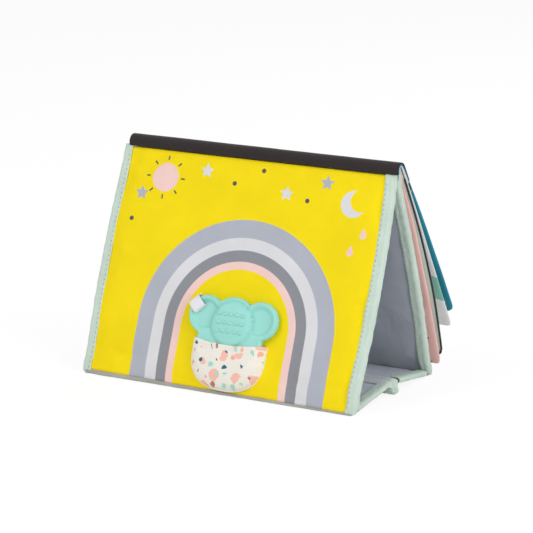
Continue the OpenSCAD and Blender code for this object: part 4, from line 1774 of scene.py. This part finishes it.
@dataclass
class Teether:
    """Moulded silicone cloud: a dome, two side lobes with dishes, and raised dots."""

    tent: Tent
    x: float = 8.2
    v: float = 24.0
    back: float = 1.3
    thick: float = 8.0
    dome_y: float = 40.0
    dome_r: float = 22.0
    belly_r: float = 24.0
    lobe: tuple[float, float, float] = (27.0, 44.0, 17.0)
    foot: tuple[float, float, float] = (17.0, 22.0, 15.0)
    centre_y: float = 36.0
    dish_depth: float = 2.4
    crown_y: float = 38.0
    crown_r: float = 19.5
    crown_h: float = 2.0
    ribbon_w: float = 12.0
    ribbon_t: float = 0.8
    dot_r: float = 1.9
    dot_pitch: tuple[float, float] = (5.8, 7.5)
    dot_foot: float = 31.0

    def reach(self, angle: float) -> float:
        """Measures from the middle to the outline.

        Args:
            angle: The direction, in radians.

        Returns:
            The distance to the farthest circle's edge.
        """
        way = Vector((math.cos(angle), math.sin(angle)))
        far = 0.0
        circles = [(0.0, self.dome_y, self.dome_r), (0.0, self.belly_r, self.belly_r)]
        for x, y, r in (self.lobe, self.foot):
            circles += [(x, y, r), (-x, y, r)]
        for x, y, r in circles:
            to = Vector((x, y - self.centre_y))
            along = to.dot(way)
            miss = to.length_squared - along * along
            if miss < r * r:
                far = max(far, along + math.sqrt(r * r - miss))
        return far

    def relief(self, x: float, y: float, border: float) -> float:
        """Shapes the face: a raised rim, a dish in each lobe and a domed crown in a groove.

        Args:
            x: Place across.
            y: Place up.
            border: Distance from the outline.

        Returns:
            Height over the flat face.
        """
        height = -0.5 * smooth((border - 2.2) / 1.6)
        for side in (-1, 1):
            off = math.hypot(x - side * self.lobe[0], y - self.lobe[1])
            height -= self.dish_depth * smooth((self.lobe[2] - 3.2 - off) / 3.6)
        off = math.hypot(x, (y - self.crown_y) / 1.02)
        dome = math.sqrt(max(0.0, 1 - (off / self.crown_r) ** 2))
        groove = math.exp(-(((off - self.crown_r - 0.6) / 1.1) ** 2))
        high = max(height, -0.6) + 0.6 * min(1.0, dome * 2.2) + self.crown_h * dome
        return (high if dome > 0 else height) - 0.9 * groove * smooth((border - 1.5) / 3)

    def build(self) -> list[bpy.types.Object]:
        """Makes the teether and its ribbon.

        Returns:
            The two pieces.
        """
        rings, steps = 26, 240
        raw = np.array([self.reach(2 * math.pi * i / steps) for i in range(steps)])
        for _ in range(3):
            raw = (np.roll(raw, 1) + 2 * raw + np.roll(raw, -1)) / 4
        profile = [(i / rings * 0.9, self.thick) for i in range(rings + 1)]
        profile += [
            (0.9 + 0.1 * math.sin(a), self.thick / 2 + self.thick / 2 * math.cos(a) ** 0.7)
            for a in (math.pi / 2 * i / 6 for i in range(1, 6))
        ]
        profile += [(r, self.thick - h) for r, h in reversed(profile[rings // 2 :])]
        profile.append((0.0, 0.0))
        bm = bmesh.new()
        verts = [bm.verts.new((r, 0, h)) for r, h in profile]
        edges = [bm.edges.new(pair) for pair in zip(verts, verts[1:])]
        bmesh.ops.spin(
            bm, geom=verts + edges, angle=2 * math.pi, steps=steps, axis=(0, 0, 1),
            cent=(0, 0, 0), use_merge=True, use_duplicate=False,
        )
        bmesh.ops.remove_doubles(bm, verts=bm.verts, dist=1e-4)
        cloth = bm.verts.layers.float_vector.new("cloth")
        for vert in bm.verts:
            share = math.hypot(vert.co.x, vert.co.y)
            angle = math.atan2(vert.co.y, vert.co.x) % (2 * math.pi)
            at = angle / (2 * math.pi) * steps
            low = int(at) % steps
            far = raw[low] + (at - int(at)) * (raw[(low + 1) % steps] - raw[low])
            x, y = share * far * math.cos(angle), self.centre_y + share * far * math.sin(angle)
            height = vert.co.z
            if height > self.thick * 0.7:
                height += self.relief(x, y, (1 - share) * far) * smooth((height - 5) / 2.5)
            vert.co = (self.x + x, self.v + y, self.back + height)
            vert[cloth] = vert.co * MM
        self.dots(bm)
        frame = self.tent.face_frame(Side.FRONT)
        cloud = make_piece("silicone_cloud", bm, frame, [AQUA])
        dress(cloud, "front_cover", "silicone", ["teether"])
        return [cloud, self.ribbon()]

    def dots(self, bm: bmesh.types.BMesh) -> None:
        """Adds three rows of raised dots to the face.

        Args:
            bm: Mesh that gets them.
        """
        for row in range(3):
            for i in range(-2, 3):
                x, y = self.dot_pitch[0] * i, self.dot_foot + self.dot_pitch[1] * row
                top = self.back + self.thick + self.relief(x, y, 20)
                place = Matrix.Translation((self.x + x, self.v + y, top + 0.15))
                bmesh.ops.create_uvsphere(
                    bm, u_segments=16, v_segments=8, radius=self.dot_r,
                    matrix=place @ Matrix.Diagonal((1, 1, 0.62, 1)),
                )

    def ribbon(self) -> bpy.types.Object:
        """Leads the satin loop through the left lobe and over its rim to the cover.

        Returns:
            The ribbon.
        """
        slot = Vector((self.x - self.lobe[0] - 6, self.v + self.lobe[1] + 4, 0))
        along = Vector((math.cos(math.pi / 4), math.sin(math.pi / 4), 0))
        across = Vector((-along.y, along.x, 0))
        rim, high = 10.6, self.back + self.thick + 0.5
        path = [(0, 5.5), (0, high - 1), (0.6, high), (rim / 2, high + 0.9), (rim - 1, high),
                (rim + 0.3, high - 1.6), (rim + 0.7, 4.5), (rim + 1.4, 1.2), (rim + 3.5, 0.9)]
        steps = 28

        def place(u: float, v: float, w: float) -> Vector:
            """Point of the ribbon along its path."""
            at = v * (len(path) - 1)
            i = min(int(at), len(path) - 2)
            near, far = Vector(path[i]), Vector(path[i + 1])
            point = near.lerp(far, at - i)
            way = (far - near).normalized()
            off = Vector((-way.y, way.x)) * (0 if w > 0.5 else self.ribbon_t)
            spot = point + off
            side = (u - 0.5) * self.ribbon_w
            return slot + along * side + across * spot.x + Vector((0, 0, spot.y))

        def lay(u: float, v: float, w: float) -> Point:
            """Place along the ribbon, for its weave."""
            return u * self.ribbon_w, v * 34, w

        bm = slab(8, steps, place, lay)
        piece = make_piece(
            "satin_loop", bm, self.tent.face_frame(Side.FRONT), [SATIN], levels=1
        )
        return dress(piece, "front_cover", "ribbon", ["ribbon"])


# ---------------------------------------------------------------- studio


@dataclass(frozen=True)
class Lamp:
    """Square soft lamp, aimed at the object; metres and watts."""

    name: str
    place: Point
    size: float
    power: float


@dataclass
class Studio:
    """Pale floor, soft light and the camera at the photograph's viewing angle."""

    target: tuple[float, float, float] = (7.35, 0.0, 99.4)
    azimuth: float = 0.5071
    elevation: float = 0.230
    roll: float = 0.0087
    distance: float = 2340.9
    focal: float = 178.9
    lamps: tuple[Lamp, ...] = (
        Lamp("key", (-0.9, -1.7, 1.5), 1.4, 18.0),
        Lamp("fill", (2.0, -0.95, 0.5), 1.3, 14.5),
        Lamp("side", (1.6, -0.3, 1.6), 1.0, 9.0),
        Lamp("back", (0.2, 1.8, 1.6), 1.4, 10.0),
    )
    world_light: float = 0.46
    paper: str = "#f4f4f4"
    paper_half: float = 4000.0
    paper_drop: float = 0.3
    glow: float = 1.06
    glow_share: float = 0.82

    def build(self) -> None:
        """Sets up the view, the camera, the light and the floor."""
        settings = bpy.context.scene.view_settings
        settings.view_transform = "Standard"
        self.camera()
        self.light()
        self.floor()

    def camera(self) -> None:
        """Places the camera from its angles around the target."""
        az, el = self.azimuth, self.elevation
        back = Vector((math.sin(az) * math.cos(el), -math.cos(az) * math.cos(el), math.sin(el)))
        right = Vector((math.cos(az), math.sin(az), 0))
        up = back.cross(right)
        turned = right * math.cos(self.roll) + up * math.sin(self.roll)
        upright = up * math.cos(self.roll) - right * math.sin(self.roll)
        data = bpy.data.cameras.new("camera")
        data.lens, data.sensor_width = self.focal, 36.0
        camera = bpy.data.objects.new("camera", data)
        turn = Matrix((turned, upright, back)).transposed().to_4x4()
        place = (Vector(self.target) + back * self.distance) * MM
        camera.matrix_world = Matrix.Translation(place) @ turn
        bpy.context.scene.collection.objects.link(camera)
        bpy.context.scene.camera = camera

    def light(self) -> None:
        """Large soft lamps and an even world that shows white behind the object."""
        for lamp in self.lamps:
            data = bpy.data.lights.new(lamp.name, "AREA")
            data.size, data.energy = lamp.size, lamp.power
            light = bpy.data.objects.new(lamp.name, data)
            aim = Vector((0, 0, 0.1)) - Vector(lamp.place)
            turn = aim.to_track_quat("-Z", "Y").to_matrix().to_4x4()
            light.matrix_world = Matrix.Translation(lamp.place) @ turn
            bpy.context.scene.collection.objects.link(light)
        world = bpy.data.worlds.new("studio")
        bpy.context.scene.world = world
        world.use_nodes = True
        tree = world.node_tree
        tree.nodes.clear()
        seen = self.seen(tree)
        strength = add(tree, "MapRange", {0: seen, 3: self.world_light, 4: 1.0}).outputs[0]
        sky = add(tree, "Background", {"Color": (1, 1, 1, 1), "Strength": strength})
        add(tree, "OutputWorld", {"Surface": sky.outputs[0]})

    def seen(self, tree: bpy.types.NodeTree) -> Socket:
        """Tells the rays that show the background itself.

        Args:
            tree: Node tree that gets the nodes.

        Returns:
            An output that is 1 for those rays.
        """
        path = add(tree, "LightPath").outputs
        both = add(
            tree, "Math", {0: path["Is Camera Ray"], 1: path["Is Glossy Ray"]},
            operation="MAXIMUM",
        ).outputs[0]
        return add(
            tree, "Math", {0: both, 1: path["Is Transmission Ray"]}, operation="MAXIMUM"
        ).outputs[0]

    def floor(self) -> None:
        """White paper floor that still takes the object's shadow."""
        bm = bmesh.new()
        bmesh.ops.create_grid(bm, x_segments=1, y_segments=1, size=self.paper_half)
        bmesh.ops.translate(bm, verts=bm.verts, vec=(0, 0, -self.paper_drop))
        mesh = bpy.data.meshes.new("floor")
        bmesh.ops.scale(bm, vec=(MM,) * 3, verts=bm.verts)
        bm.to_mesh(mesh)
        bm.free()
        # seamless paper: matt, and so bright to the camera that only the shadow shows on it
        paper = bpy.data.materials.new("white_paper")
        paper.use_nodes = True
        tree = paper.node_tree
        tree.nodes.clear()
        diffuse = add(tree, "BsdfDiffuse", {"Color": linear(self.paper)})
        glow = add(tree, "Emission", {"Color": (1, 1, 1, 1), "Strength": self.glow})
        share = add(tree, "MapRange", {0: self.seen(tree), 3: 0.0, 4: self.glow_share}).outputs[0]
        mix = add(tree, "MixShader", {0: share, 1: diffuse.outputs[0], 2: glow.outputs[0]})
        add(tree, "OutputMaterial", {"Surface": mix.outputs[0]})
        mesh.materials.append(paper)
        floor = bpy.data.objects.new("floor", mesh)
        bpy.context.scene.collection.objects.link(floor)


def main() -> None:
    """Loads the frame and builds the sub-assemblies in order."""
    logging.basicConfig(level=logging.INFO, format="%(name)s: %(message)s")
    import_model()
    tent = Tent()
    Studio().build()
    prints = tuple(f"print_{name}" for name in ("grey", "pale", "slate", "blush", "charcoal"))
    Cover(
        tent, Side.FRONT, YELLOW, "yellow_cloth",
        replaced=("front_cover_panel", "front_cover_lining", *prints),
    ).build()
    Cover(
        tent, Side.REAR, BACKING, "back_cloth",
        replaced=("rear_cover_panel", "rear_cover_lining"),
    ).build()
    for side in Side:
        BaseHalf(tent, side).build()
    Ridge(tent).build()
    pink = Leaf(
        tent, "leaf_pink_cotton", 212, 24.4, 3, PINK, PINK, "pink_cloth", width=269.0, belly=1.8,
        tuck=2.6,
    )
    pink.build(["leaf_pink"])
    mint = Leaf(
        tent, "leaf_mint_cotton", 207.5, 26.1, 2, MINT_LEAF, MINT_LEAF, "mint_leaf_cloth",
        corner=7.0, belly=5.4, thick=2.2, rim=OVERLOCK,
    )
    mint.build(["leaf_mint"])
    mint.edging(
        "mint_leaf_overlock_thread", OVERLOCK, "overlock_thread", "leaf_mint_overlock", 0.8, 0.25
    )
    grey = Leaf(
        tent, "leaf_grey_cotton", 196, 33.1, 1, GREY_LEAF, GREY_LEAF, "grey_leaf_cloth",
        width=269.0, belly=0.5,
    )
    grey.build(["leaf_grey"])
    teal = Leaf(
        tent, "leaf_contrast_cotton", 188, 35.9, 0, CONTRAST, CONTRAST, "contrast_cloth",
        width=269.6, corner=9.0, belly=1.2, rim=TEAL,
    )
    teal.build(["leaf_teal"])
    teal.edging("teal_leaf_tape", TEAL, "teal_tape", "leaf_teal_binding", 6.5, top=30.0)
    Pocket(tent).build()
    Teether(tent).build()


if __name__ == "__main__":
    main()
